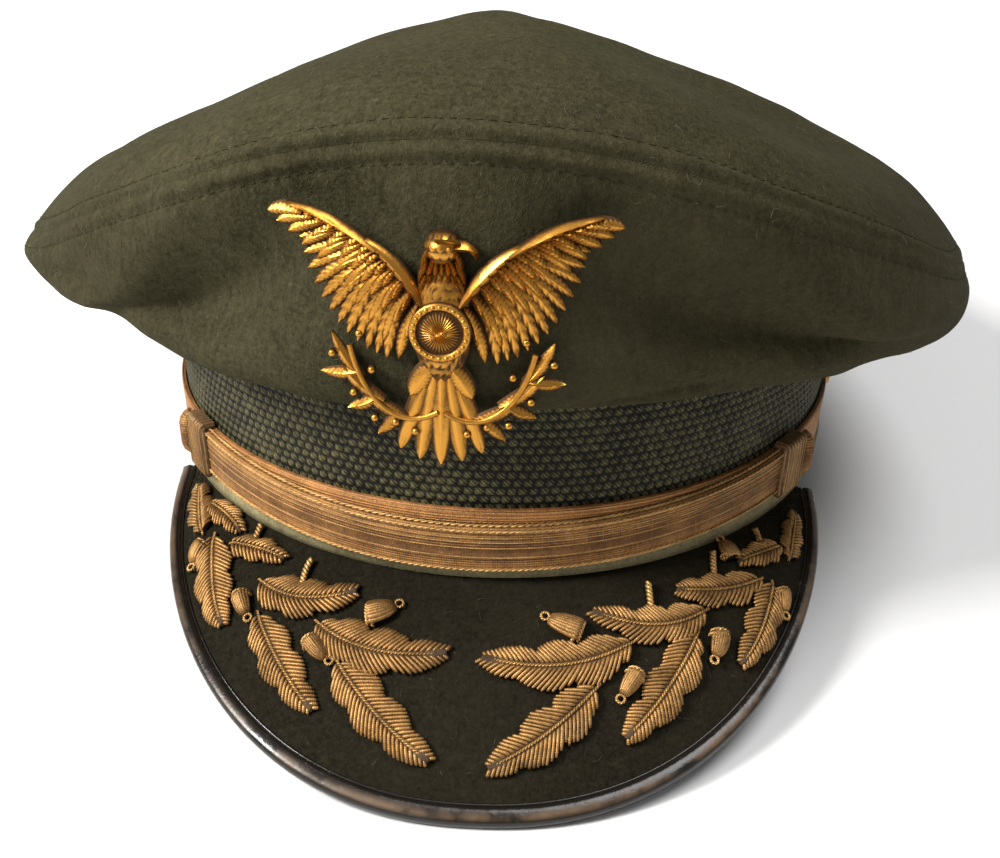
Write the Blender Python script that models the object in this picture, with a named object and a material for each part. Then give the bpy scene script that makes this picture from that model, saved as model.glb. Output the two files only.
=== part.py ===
"""A peaked officer's service cap, built as an assembly of separate pieces.

The pieces are modelled in the cap's own frame: its origin is the middle of the head opening
at the band's bottom edge, the visor points to -Y, the wearer's left is +X and up is +Z.
An empty then leans the cap back until the visor's rim and the rear of the band stand on z = 0.
"""

import math

import bmesh
import bpy
import numpy as np

# Head opening and band, metres
HEAD_HALF_WIDTH = 0.0848
HEAD_HALF_LENGTH = 0.0978
BAND_WALL = 0.0022
BAND_HEIGHT = 0.046
BAND_FLARE = 0.0034
FIT_GAP = 0.0003
ROUND_STEPS = 48
EDGE_SOFTNESS = 0.3
SHARP_ANGLE = 40.0

# Felt welt round the bottom of the band
WELT_HEIGHT = 0.0052
WELT_WALL = 0.0014

# Wool crown
CROWN_HALF_WIDTH = 0.137
CROWN_FRONT_REACH = 0.1195
CROWN_REAR_REACH = 0.138
CROWN_HEIGHT = 0.1207
CROWN_PEAK_FORWARD = 0.060
CLOTH_WALL = 0.0018
CROWN_STUB = 0.0025
CROWN_CREST_UP = 0.0048
CROWN_TOP_RINGS = 5
TOP_RING_CROWDING = 1.25
APEX_ROUNDING = 0.14
EDGE_ROLL_POWER = 5.5

# Chin strap, in two layers of lace, with its slides and buttons
STRAP_WIDTH = 0.0118
STRAP_BACK_WALL = 0.0010
STRAP_FRONT_WALL = 0.0014
STRAP_RISE = 0.0062
STRAP_SAG = 0.0040
STRAP_SAG_POWER = 1.2
SLIDE_ANGLE_RIGHT = 51.0
SLIDE_ANGLE_LEFT = 57.5
SLIDE_LENGTH = 0.0105
SLIDE_WALL = 0.0012
STRAP_END_LENGTH = 0.0046
STRAP_END_FOLD = 0.0014
BUTTON_ANGLE = 97.0
BUTTON_RADIUS = 0.0068
BUTTON_DOME = 0.0036
BUTTON_RIM = 0.0009
BUTTON_SIDES = 16
BUTTON_RINGS = (0.75, 0.45, 0.2)

# Visor and its binding
VISOR_HALF_WIDTH = 0.0836
VISOR_SIDE_FORWARD = 0.042
VISOR_TURN = 3.3
VISOR_TIP_FORWARD = 0.1475
VISOR_TIP_DROP = 0.0350
VISOR_SIDE_DROP = 0.0030
VISOR_DROP_POWER = 1.28
VISOR_SQUARENESS = 2.22
VISOR_HALF_ANGLE = 63.0
VISOR_ARCH = 0.0030
VISOR_ARCH_WAY = (0.0, -0.4, 0.9)
VISOR_WALL = 0.0022
VISOR_FLANGE_OUT = 0.0008
VISOR_ROWS = (0.0, 0.25, 0.5, 0.75, 1.0)
VISOR_STEPS = 28
VISOR_END_SHARE = 0.985
VISOR_END_CROWDING = 0.35
BINDING_WIDTH = 0.0048
BINDING_THICKNESS = 0.0044
BINDING_SIDES = 8
BINDING_SQUARENESS = 0.75

# Oak-leaf spray on the visor
EMBROIDERY_EDGE = 0.0006
LEAF_HEIGHT = 0.0016
ACORN_HEIGHT = 0.0026
TWIG_HEIGHT = 0.0012
MIDRIB_DEPTH = 0.0004

# How deep the felt and the patent edge are pressed flat where the cap stands
PRESSED_FLAT = 0.0008

# Front badge and its hidden post
BADGE_HEIGHT = 0.0600
BADGE_WIDTH = 0.0640
BADGE_CENTRE_UP = 0.0680
BADGE_SIDE = -0.0022
POST_RADIUS = 0.0015
NUT_RADIUS = 0.0070
NUT_WALL = 0.0020
TURNED_SIDES = 12

# Stations round the crown, every 30 degrees from the front towards the wearer's left.
# reach is a share of the crown's oval; the other "out" columns are shares of the way from
# the band to that oval; the "up" columns are shares of CROWN_HEIGHT.
CROWN_COLUMNS = ("reach", "seam_out", "seam_up", "wide_up", "roll_out", "roll_up",
                 "fold_out", "fold_up", "crest_out", "slope")
CROWN_STATIONS = (
    (1.000, 0.960, 0.889, 0.560, 0.900, 0.425, 0.560, 0.384, 0.200, 0.22),
    (0.980, 0.960, 0.765, 0.525, 0.860, 0.416, 0.500, 0.371, 0.160, 0.56),
    (0.945, 0.965, 0.568, 0.450, 0.830, 0.388, 0.420, 0.358, 0.110, 0.74),
    (0.888, 0.965, 0.448, 0.392, 0.900, 0.302, 0.520, 0.275, 0.080, 0.70),
    (0.872, 0.965, 0.408, 0.375, 0.820, 0.320, 0.300, 0.310, 0.080, 0.95),
    (0.890, 0.960, 0.440, 0.405, 0.840, 0.350, 0.380, 0.330, 0.100, 0.92),
    (0.930, 0.955, 0.490, 0.435, 0.860, 0.370, 0.450, 0.345, 0.120, 0.80),
    (0.915, 0.960, 0.440, 0.405, 0.840, 0.350, 0.380, 0.330, 0.100, 0.88),
    (0.875, 0.965, 0.398, 0.375, 0.820, 0.320, 0.300, 0.310, 0.080, 0.93),
    (0.915, 0.965, 0.428, 0.398, 0.900, 0.318, 0.500, 0.290, 0.080, 0.82),
    (0.965, 0.965, 0.528, 0.468, 0.820, 0.432, 0.420, 0.394, 0.110, 0.70),
    (0.985, 0.960, 0.740, 0.520, 0.860, 0.424, 0.500, 0.378, 0.160, 0.58),
)

# Soft dents of the crown: where (degrees round, station along the section: 1 is the seam and
# 2 the peak), how far they spread, how much they slant, and their depth as a share of
# CROWN_HEIGHT. A negative depth is a swelling.
DENT_COLUMNS = ("angle", "along", "angle_spread", "along_spread", "slant", "depth")
CROWN_DENTS = (
    (-27.0, 0.80, 11.0, 0.11, 0.006, 0.045),
    (25.0, 0.78, 10.0, 0.12, -0.004, 0.035),
    (-46.0, 0.82, 12.0, 0.07, 0.004, 0.030),
    (50.0, 0.72, 14.0, 0.10, -0.004, 0.025),
    (70.0, 1.35, 18.0, 0.22, 0.000, 0.020),
    (-70.0, 1.40, 18.0, 0.22, 0.000, 0.020),
    (180.0, 1.45, 40.0, 0.25, 0.000, 0.035),
)

# Oak leaves, acorns and twigs: the foot, the middle and the tip of each on the visor. "round"
# is a share of the way from the front to the visor's end, negative at the wearer's right, and
# "out" is a share of the way from the band to the binding. half_width is a share of the
# visor's reach past the head opening.
SPRAY_COLUMNS = ("name", "foot_round", "foot_out", "mid_round", "mid_out",
                 "tip_round", "tip_out", "half_width")
SPRAY_PIECES = (
    ("leaf_right_1", -0.750, 0.57, -0.815, 0.49, -0.890, 0.34, 0.060),
    ("leaf_right_2", -0.791, 0.26, -0.726, 0.18, -0.646, 0.20, 0.058),
    ("leaf_right_3", -0.706, 0.45, -0.626, 0.68, -0.546, 0.80, 0.091),
    ("leaf_right_4", -0.646, 0.34, -0.571, 0.22, -0.486, 0.17, 0.062),
    ("leaf_right_5", -0.511, 0.39, -0.401, 0.34, -0.276, 0.17, 0.093),
    ("leaf_right_6", -0.476, 0.57, -0.386, 0.70, -0.286, 0.81, 0.086),
    ("leaf_right_7", -0.336, 0.42, -0.211, 0.45, -0.051, 0.39, 0.104),
    ("leaf_right_8", -0.266, 0.56, -0.171, 0.71, -0.061, 0.86, 0.095),
    ("leaf_left_1", 0.764, 0.70, 0.814, 0.62, 0.884, 0.53, 0.050),
    ("leaf_left_2", 0.759, 0.50, 0.699, 0.37, 0.629, 0.28, 0.058),
    ("leaf_left_3", 0.679, 0.66, 0.604, 0.79, 0.519, 0.85, 0.076),
    ("leaf_left_4", 0.654, 0.53, 0.539, 0.37, 0.444, 0.23, 0.082),
    ("leaf_left_5", 0.489, 0.44, 0.367, 0.385, 0.234, 0.21, 0.088),
    ("leaf_left_6", 0.449, 0.54, 0.349, 0.71, 0.249, 0.835, 0.090),
    ("leaf_left_7", 0.304, 0.43, 0.154, 0.46, -0.001, 0.40, 0.104),
    ("leaf_left_8", 0.214, 0.59, 0.114, 0.74, 0.014, 0.87, 0.095),
    ("acorn_right_1", -0.716, 0.58, -0.716, 0.71, -0.711, 0.82, 0.036),
    ("acorn_right_2", -0.546, 0.55, -0.526, 0.59, -0.506, 0.62, 0.034),
    ("acorn_right_3", -0.346, 0.51, -0.321, 0.54, -0.296, 0.56, 0.034),
    ("acorn_right_4", -0.241, 0.29, -0.216, 0.26, -0.186, 0.21, 0.046),
    ("acorn_left_1", 0.619, 0.23, 0.619, 0.15, 0.619, 0.06, 0.040),
    ("acorn_left_2", 0.209, 0.32, 0.179, 0.28, 0.144, 0.23, 0.046),
    ("acorn_left_3", 0.304, 0.57, 0.284, 0.61, 0.264, 0.65, 0.034),
    ("acorn_left_4", 0.504, 0.60, 0.489, 0.66, 0.474, 0.70, 0.036),
    ("acorn_left_5", 0.694, 0.78, 0.684, 0.84, 0.674, 0.91, 0.028),
    ("twig_right_1", -0.416, 0.24, -0.421, 0.17, -0.421, 0.10, 0.018),
    ("twig_right_2", -0.596, 0.17, -0.601, 0.10, -0.606, 0.04, 0.016),
    ("twig_left_1", 0.374, 0.26, 0.379, 0.20, 0.384, 0.14, 0.018),
    ("twig_left_2", 0.554, 0.25, 0.564, 0.18, 0.579, 0.10, 0.018),
    ("twig_left_3", 0.724, 0.23, 0.727, 0.18, 0.729, 0.12, 0.018),
)

# Outlines of the three kinds of embroidered piece, from foot to tip: station, share of the
# half width and share of the height.
OUTLINE_COLUMNS = ("along", "width", "height")
LEAF_OUTLINE = (
    (0.00, 0.16, 0.70),
    (0.12, 0.22, 0.80),
    (0.24, 0.82, 1.00),
    (0.37, 0.54, 0.90),
    (0.50, 1.00, 1.00),
    (0.63, 0.66, 0.90),
    (0.75, 0.94, 0.95),
    (0.88, 0.56, 0.80),
    (1.00, 0.16, 0.50),
)
ACORN_OUTLINE = (
    (0.00, 0.55, 0.60),
    (0.18, 1.00, 0.95),
    (0.42, 1.00, 1.00),
    (0.48, 0.82, 0.80),
    (0.80, 0.62, 0.62),
    (1.00, 0.20, 0.25),
)
TWIG_OUTLINE = (
    (0.00, 0.75, 0.80),
    (0.60, 0.80, 0.90),
    (0.85, 1.20, 1.00),
    (1.00, 0.90, 0.80),
)

# Feathers, plumes and leaves of the badge, on its own plane: the foot and the tip as shares of
# half its width and half its height, the half width of the blade as a share of half its
# height, and how far its ridge stands out as a share of BADGE_RELIEF. Rows with mirror 1 are
# made on both sides.
BADGE_COLUMNS = ("foot_x", "foot_y", "tip_x", "tip_y", "half_width", "relief", "mirror")
BADGE_BLADES = (
    (0.14, 0.24, 0.46, 0.62, 0.115, 0.95, 1),
    (0.40, 0.52, 0.98, 0.84, 0.085, 0.80, 1),
    (0.52, 0.60, 0.92, 0.60, 0.080, 0.55, 1),
    (0.48, 0.54, 0.86, 0.36, 0.080, 0.58, 1),
    (0.42, 0.48, 0.76, 0.14, 0.080, 0.55, 1),
    (0.36, 0.42, 0.64, -0.04, 0.080, 0.58, 1),
    (0.28, 0.36, 0.50, -0.16, 0.080, 0.55, 1),
    (0.20, 0.30, 0.36, -0.22, 0.080, 0.58, 1),
    (0.44, 0.60, 0.72, 0.58, 0.075, 0.78, 1),
    (0.38, 0.54, 0.62, 0.36, 0.075, 0.80, 1),
    (0.30, 0.46, 0.50, 0.18, 0.075, 0.78, 1),
    (0.20, 0.36, 0.36, 0.06, 0.075, 0.80, 1),
    (0.00, -0.20, 0.00, -1.00, 0.085, 0.70, 0),
    (0.03, -0.20, 0.14, -0.97, 0.080, 0.62, 1),
    (0.05, -0.22, 0.27, -0.90, 0.080, 0.55, 1),
    (0.04, -0.20, 0.20, -0.48, 0.090, 0.90, 1),
    (0.00, -0.62, 0.30, -0.66, 0.060, 0.50, 1),
    (0.22, -0.66, 0.50, -0.50, 0.075, 0.60, 1),
    (0.28, -0.62, 0.42, -0.80, 0.070, 0.55, 1),
    (0.38, -0.54, 0.66, -0.30, 0.075, 0.60, 1),
    (0.42, -0.52, 0.62, -0.62, 0.070, 0.55, 1),
    (0.52, -0.38, 0.72, -0.06, 0.070, 0.60, 1),
    (0.54, -0.34, 0.80, -0.36, 0.070, 0.55, 1),
    (0.03, 0.64, 0.19, 0.61, 0.063, 1.10, 0),
)
BLADE_STATIONS = ((0.0, 0.70, 1.00), (0.6, 1.00, 0.95), (1.0, 0.15, 0.45))

# Rounded lumps of the badge, the body, the head and the boss: sizes and height of the middle as
# shares of half its height, and relief as a share of BADGE_RELIEF.
DOME_COLUMNS = ("half_width", "half_height", "up", "relief", "rings")
BADGE_DOMES = (
    (0.220, 0.450, 0.067, 1.35, 4),
    (0.140, 0.161, 0.600, 1.50, 4),
    (0.193, 0.193, 0.033, 1.75, 3),
)
DOME_SIDES = 8
DOME_TOP = 0.9
BADGE_RELIEF = 0.0032
BADGE_BEND = 0.0022


def head_oval(angle, out):
    """Points of the oval that lies a distance out from the head opening; angle 0 is the front."""
    return np.stack([(HEAD_HALF_WIDTH + out) * np.sin(angle),
                     -(HEAD_HALF_LENGTH + out) * np.cos(angle)], axis=-1)


def head_normal(angle, out):
    """Outward directions of that oval in plan."""
    normal = np.stack([(HEAD_HALF_LENGTH + out) * np.sin(angle),
                       -(HEAD_HALF_WIDTH + out) * np.cos(angle)], axis=-1)
    return normal / np.linalg.norm(normal, axis=-1, keepdims=True)


def crown_oval(angle):
    """Points of the crown's outline in plan, with its own front and rear reach."""
    front = np.cos(angle) > 0.0
    reach = np.where(front, CROWN_FRONT_REACH, CROWN_REAR_REACH)
    return np.stack([CROWN_HALF_WIDTH * np.sin(angle), -reach * np.cos(angle)], axis=-1)


def cyclic_spline(values, angle):
    """Smooth closed curve through values at equal steps of a turn, read at the angles."""
    values = np.asarray(values, dtype=float)
    count = len(values)
    rows = np.arange(count)
    system = np.zeros((count, count))
    system[rows, rows] = 4.0
    system[rows, (rows + 1) % count] = 1.0
    system[rows, (rows - 1) % count] = 1.0
    bend = np.linalg.solve(system, 6.0 * (np.roll(values, -1) - 2.0 * values + np.roll(values, 1)))
    place = np.mod(np.asarray(angle) / (2.0 * math.pi) * count, count)
    low = np.floor(place).astype(int) % count
    high = (low + 1) % count
    t = place - np.floor(place)
    s = 1.0 - t
    return (s * values[low] + t * values[high]
            + (s ** 3 - s) * bend[low] / 6.0 + (t ** 3 - t) * bend[high] / 6.0)


def crown_column(name, angle):
    """One column of the crown's station table, read all round."""
    index = CROWN_COLUMNS.index(name)
    return cyclic_spline([row[index] for row in CROWN_STATIONS], angle)


def through_points(points, share):
    """Smooth curve through control points (stacked on axis 0), read at shares from 0 to 1."""
    points = np.asarray(points)
    spans = len(points) - 1
    place = min(max(share, 0.0), 1.0) * spans
    index = min(int(place), spans - 1)
    t = place - index
    before = points[index - 1] if index > 0 else 2.0 * points[0] - points[1]
    after = points[index + 2] if index + 2 <= spans else 2.0 * points[-1] - points[-2]
    start = points[index]
    end = points[index + 1]
    return 0.5 * (2.0 * start + (end - before) * t
                  + (2.0 * before - 5.0 * start + 4.0 * end - after) * t * t
                  + (3.0 * start - before - 3.0 * end + after) * t ** 3)


def crown_sections(angle):
    """Control points of the crown's outer face from the band up to the seam, for each angle."""
    wall_line = head_oval(angle, 0.5 * BAND_WALL + BAND_FLARE)
    outline = crown_oval(angle) * crown_column("reach", angle)[:, None]
    outward = head_normal(angle, 0.5 * BAND_WALL + BAND_FLARE)

    def place(out_share, up):
        plan = wall_line + (outline - wall_line) * np.reshape(out_share, (-1, 1))
        return np.column_stack([plan, np.broadcast_to(up, angle.shape)])

    stub = wall_line + 0.5 * CLOTH_WALL * outward
    foot_up = BAND_HEIGHT + FIT_GAP
    foot = np.column_stack([stub, np.full_like(angle, foot_up)])
    neck = np.column_stack([stub, np.full_like(angle, foot_up + CROWN_STUB)])
    crest = place(crown_column("crest_out", angle), foot_up + CROWN_CREST_UP)
    fold = place(crown_column("fold_out", angle), CROWN_HEIGHT * crown_column("fold_up", angle))
    roll = place(crown_column("roll_out", angle), CROWN_HEIGHT * crown_column("roll_up", angle))
    wide = place(np.ones_like(angle), CROWN_HEIGHT * crown_column("wide_up", angle))
    seam = place(crown_column("seam_out", angle), CROWN_HEIGHT * crown_column("seam_up", angle))
    return np.stack([foot, neck, crest, fold, roll, wide, seam])


def crown_dome(angle, seam, inward):
    """Outer face of the top panel: inward runs from 0 at the seam to 1 at the peak."""
    peak = np.array([0.0, -CROWN_PEAK_FORWARD, CROWN_HEIGHT])
    rho = 1.0 - inward
    rounded = math.hypot(rho, APEX_ROUNDING) - APEX_ROUNDING
    rounded /= math.hypot(1.0, APEX_ROUNDING) - APEX_ROUNDING
    slope = crown_column("slope", angle)
    drop = slope * rounded + (1.0 - slope) * rounded ** EDGE_ROLL_POWER
    points = peak + (seam - peak) * rho
    points[:, 2] = CROWN_HEIGHT + (seam[:, 2] - CROWN_HEIGHT) * drop
    return points


def dent_depth(angle, along):
    """Depth of all dents at the angles, for a station along the section."""
    depth = np.zeros_like(angle)
    for row in CROWN_DENTS:
        dent = dict(zip(DENT_COLUMNS, row))
        turn = np.degrees(np.angle(np.exp(1j * (angle - math.radians(dent["angle"])))))
        lift = along - dent["along"] - dent["slant"] * turn
        depth += dent["depth"] * CROWN_HEIGHT * np.exp(-(turn / dent["angle_spread"]) ** 2
                                                       - (lift / dent["along_spread"]) ** 2)
    return depth


def grid_normals(grid):
    """Unit normals of a grid of points (rows along the section, columns round the crown)."""
    along = np.gradient(grid, axis=0)
    around = np.roll(grid, -1, axis=1) - np.roll(grid, 1, axis=1)
    normal = np.cross(around, along)
    return normal / np.linalg.norm(normal, axis=-1, keepdims=True)


def crown_grids():
    """Outer and inner faces of the side panel and of the top panel."""
    angle = np.arange(ROUND_STEPS) * 2.0 * math.pi / ROUND_STEPS
    controls = crown_sections(angle)
    spans = len(controls) - 1
    side_places = np.append(np.delete(np.arange(0.0, spans, 0.5), 1), spans) / spans
    side_places = np.delete(side_places, -2)
    side_rows = [through_points(controls, share) for share in side_places]
    seam = controls[-1]
    top_places = (np.arange(CROWN_TOP_RINGS) / CROWN_TOP_RINGS) ** TOP_RING_CROWDING
    top_rows = [crown_dome(angle, seam, share) for share in top_places]
    grid = np.stack(side_rows + top_rows[1:])
    along = np.concatenate([side_places, 1.0 + top_places[1:]])
    normal = grid_normals(grid)
    depth = np.stack([dent_depth(angle, place) for place in along])
    grid = grid - normal * depth[..., None]
    normal = grid_normals(grid)
    normal[0] = np.column_stack([head_normal(angle, 0.0), np.zeros_like(angle)])
    normal[1] = normal[0]
    inner = grid - normal * CLOTH_WALL
    split = len(side_rows)
    toward_top = grid[split] - grid[split - 1]
    toward_top /= np.linalg.norm(toward_top, axis=-1, keepdims=True)
    seam_shift = toward_top * FIT_GAP
    top_outer = np.concatenate([(grid[split - 1] + seam_shift)[None], grid[split:]])
    top_inner = np.concatenate([(inner[split - 1] + seam_shift)[None], inner[split:]])
    return grid[:split], inner[:split], top_outer, top_inner


def new_object(name, mesh, parent, material):
    """Puts a finished mesh into the scene as one piece of the cap."""
    mesh.materials.append(material)
    mesh.shade_smooth()
    mesh.set_sharp_from_angle(angle=math.radians(SHARP_ANGLE))
    piece = bpy.data.objects.new(name, mesh)
    bpy.context.collection.objects.link(piece)
    piece.parent = parent
    return piece


def closed_mesh(name, points, faces):
    """A mesh from points and faces, triangulated, with every face turned outwards."""
    mesh = bpy.data.meshes.new(name)
    mesh.from_pydata([tuple(point) for point in points], [], faces)
    work = bmesh.new()
    work.from_mesh(mesh)
    bmesh.ops.recalc_face_normals(work, faces=work.faces[:])
    bmesh.ops.triangulate(work, faces=work.faces[:], quad_method="SHORT_EDGE")
    work.to_mesh(mesh)
    work.free()
    return mesh


def tube_faces(rows, columns, closed_rows):
    """Faces of a sweep of closed sections: rows of sections, each with so many points."""
    faces = []
    for row in range(rows if closed_rows else rows - 1):
        below = row * columns
        above = (row + 1) % rows * columns
        for column in range(columns):
            side = (column + 1) % columns
            faces.append((below + column, below + side, above + side, above + column))
    if not closed_rows:
        faces.append(tuple(range(columns)))
        faces.append(tuple(range((rows - 1) * columns, rows * columns)))
    return faces


def swept(name, sections, closed_rows):
    """A closed body from an array of sections, rows by points by three."""
    rows, columns = sections.shape[:2]
    return closed_mesh(name, sections.reshape(-1, 3), tube_faces(rows, columns, closed_rows))


def flare(up):
    """How far the band leans out from the head opening at a height."""
    return BAND_FLARE * up / BAND_HEIGHT


def band_sections(angle, outline):
    """Sections that follow the flared band; outline gives (out, up) corners for each angle."""
    corners = np.moveaxis(np.asarray(outline, dtype=float), -1, 0)
    up = np.broadcast_to(corners[1], (len(angle), corners.shape[-1]))
    out = np.broadcast_to(corners[0], (len(angle), corners.shape[-1])) + flare(up)
    turn = angle[:, None]
    return np.stack([(HEAD_HALF_WIDTH + out) * np.sin(turn),
                     -(HEAD_HALF_LENGTH + out) * np.cos(turn), up], axis=-1)


def make_crown(parent, finish):
    """The side panel with its fold over the band, and the top panel."""
    side_outer, side_inner, top_outer, top_inner = crown_grids()
    sections = np.concatenate([side_outer, side_inner[::-1]]).transpose(1, 0, 2)
    side = swept("crown_side", sections, True)
    rows, columns = top_outer.shape[:2]
    points = np.concatenate([top_outer.reshape(-1, 3), top_inner.reshape(-1, 3)])
    peak = np.array([0.0, -CROWN_PEAK_FORWARD, CROWN_HEIGHT])
    points = np.vstack([points, peak, peak - [0.0, 0.0, CLOTH_WALL]])
    faces = []
    inner_start = rows * columns
    for column in range(columns):
        side_column = (column + 1) % columns
        for row in range(rows - 1):
            low = row * columns
            high = low + columns
            faces.append((low + column, low + side_column, high + side_column, high + column))
            faces.append(tuple(inner_start + index for index in
                               (low + column, high + column, high + side_column,
                                low + side_column)))
        last = (rows - 1) * columns
        faces.append((last + column, last + side_column, 2 * inner_start))
        faces.append((inner_start + last + side_column, inner_start + last + column,
                      2 * inner_start + 1))
        faces.append((side_column, column, inner_start + column, inner_start + side_column))
    top = closed_mesh("crown_top", points, faces)
    return (new_object("crown_side", side, parent, finish),
            new_object("crown_top", top, parent, finish))


def round_angles():
    """Equal steps all round the head opening, with one at the front and one at the rear."""
    return np.arange(ROUND_STEPS) * 2.0 * math.pi / ROUND_STEPS


def welt_sections():
    """The felt welt round the foot of the band."""
    inner = BAND_WALL + FIT_GAP
    outer = inner + WELT_WALL
    soft = EDGE_SOFTNESS * WELT_WALL
    corners = [(inner, 0.0), (outer, 0.0), (outer, WELT_HEIGHT - soft),
               (outer - soft, WELT_HEIGHT), (inner, WELT_HEIGHT)]
    return band_sections(round_angles(), corners)


def standing_plane():
    """Lean of the cap, and the plane it stands on: its upward direction and its height."""
    rear = welt_sections().reshape(-1, 3)
    front = binding_sections().reshape(-1, 3)
    least = 0.0
    most = 0.5
    for _ in range(40):
        lean = 0.5 * (least + most)
        up = np.array([0.0, -math.sin(lean), math.cos(lean)])
        if (front @ up).min() < (rear @ up).min():
            least = lean
        else:
            most = lean
    return lean, up, (rear @ up).min() + PRESSED_FLAT


def pressed(points, up, level):
    """Points below the plane the cap stands on are pressed up to it."""
    depth = np.maximum(level - points @ up, 0.0)
    return points + depth[..., None] * up


def make_band(parent, finish, felt, up, level):
    """The braid band and the felt welt round its foot."""
    corners = [(0.0, 0.0), (BAND_WALL, 0.0), (BAND_WALL, BAND_HEIGHT), (0.0, BAND_HEIGHT)]
    band = pressed(band_sections(round_angles(), corners), up, level)
    welt = pressed(welt_sections(), up, level)
    new_object("cap_band", swept("cap_band", band, True), parent, finish)
    new_object("base_welt", swept("base_welt", welt, True), parent, felt)


def strap_back_out():
    """How far out the rear strap's inner and outer faces lie."""
    inner = BAND_WALL + FIT_GAP
    return inner, inner + STRAP_BACK_WALL


def strap_front_out():
    """How far out the front strap's inner and outer faces lie."""
    inner = max(strap_back_out()[1], BAND_WALL + FIT_GAP + WELT_WALL) + FIT_GAP
    return inner, inner + STRAP_FRONT_WALL


def arc_degrees(length, out):
    """Degrees round the head oval that a length takes near the slides."""
    turn = math.radians(0.5 * (SLIDE_ANGLE_LEFT + SLIDE_ANGLE_RIGHT))
    step = math.hypot((HEAD_HALF_WIDTH + out) * math.cos(turn),
                      (HEAD_HALF_LENGTH + out) * math.sin(turn))
    return math.degrees(length / step)


def strap_front_rise(angle):
    """Height of the front strap's lower edge: it sags at the front and is level at the slides."""
    slide = np.where(angle > 0.0, SLIDE_ANGLE_LEFT, SLIDE_ANGLE_RIGHT)
    share = np.clip(np.abs(angle) / np.radians(slide), 0.0, 1.0)
    return STRAP_RISE - STRAP_SAG * np.cos(0.5 * math.pi * share) ** STRAP_SAG_POWER


def strap_section(inner, outer, low, high):
    """A flat strap's section with its edges rounded a little."""
    soft = EDGE_SOFTNESS * (outer - inner)
    return [(inner, low), (outer - soft, low), (outer, low + soft), (outer, high - soft),
            (outer - soft, high), (inner, high)]


def make_straps(parent, lace):
    """The rear strap from button to button and the front strap with its folded ends."""
    inner, outer = strap_back_out()
    reach = math.radians(BUTTON_ANGLE) + BUTTON_RADIUS / HEAD_HALF_LENGTH
    step = 2.0 * math.pi / ROUND_STEPS
    inside = np.arange(0.0, reach - 0.2 * step, step)
    angle = np.concatenate([[-reach], -inside[:0:-1], inside, [reach]])
    back = band_sections(angle, strap_section(inner, outer, STRAP_RISE, STRAP_RISE + STRAP_WIDTH))
    new_object("strap_back", swept("strap_back", back, False), parent, lace)

    inner, outer = strap_front_out()
    half_slide = 0.5 * arc_degrees(SLIDE_LENGTH, outer)
    slide_end = half_slide + arc_degrees(2.0 * FIT_GAP, outer)
    tail_end = slide_end + arc_degrees(STRAP_END_LENGTH, outer)
    step = 360.0 / ROUND_STEPS
    ends = np.array([0.0, slide_end, slide_end + 0.3, tail_end - 0.4, tail_end])
    right = np.arange(0.0, SLIDE_ANGLE_RIGHT - half_slide, step)[1:]
    left = np.arange(0.0, SLIDE_ANGLE_LEFT - half_slide, step)
    stations = np.concatenate([-(SLIDE_ANGLE_RIGHT + ends)[::-1], -right[::-1], left,
                               SLIDE_ANGLE_LEFT + ends])
    fold = np.where((stations > SLIDE_ANGLE_LEFT + slide_end + 0.1)
                    | (stations < -SLIDE_ANGLE_RIGHT - slide_end - 0.1), STRAP_END_FOLD, 0.0)
    angle = np.radians(stations)
    low = strap_front_rise(angle)
    sections = [strap_section(inner, outer + extra, base, base + STRAP_WIDTH)
                for extra, base in zip(fold, low)]
    front = band_sections(angle, sections)
    new_object("strap_front", swept("strap_front", front, False), parent, lace)


def make_slides(parent, lace):
    """A channel of lace round both straps on each side."""
    strap_outer = strap_front_out()[1]
    inner = BAND_WALL + 2.0 * FIT_GAP
    outer = strap_outer + FIT_GAP + SLIDE_WALL
    low = STRAP_RISE - FIT_GAP
    high = STRAP_RISE + STRAP_WIDTH + FIT_GAP
    face = strap_outer + FIT_GAP
    soft = EDGE_SOFTNESS * SLIDE_WALL
    welt_clear = BAND_WALL + FIT_GAP + WELT_WALL + FIT_GAP
    channel = [(welt_clear, low - SLIDE_WALL), (outer - soft, low - SLIDE_WALL),
               (outer, low - SLIDE_WALL + soft), (outer, high + SLIDE_WALL - soft),
               (outer - soft, high + SLIDE_WALL), (inner, high + SLIDE_WALL), (inner, high),
               (face, high), (face, low), (welt_clear, low)]
    half = 0.5 * arc_degrees(SLIDE_LENGTH, outer)
    for middle, word in ((-SLIDE_ANGLE_RIGHT, "right"), (SLIDE_ANGLE_LEFT, "left")):
        angle = np.radians(middle + np.linspace(-half, half, 4))
        name = "strap_slide_" + word
        new_object(name, swept(name, band_sections(angle, channel), False), parent, lace)


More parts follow.
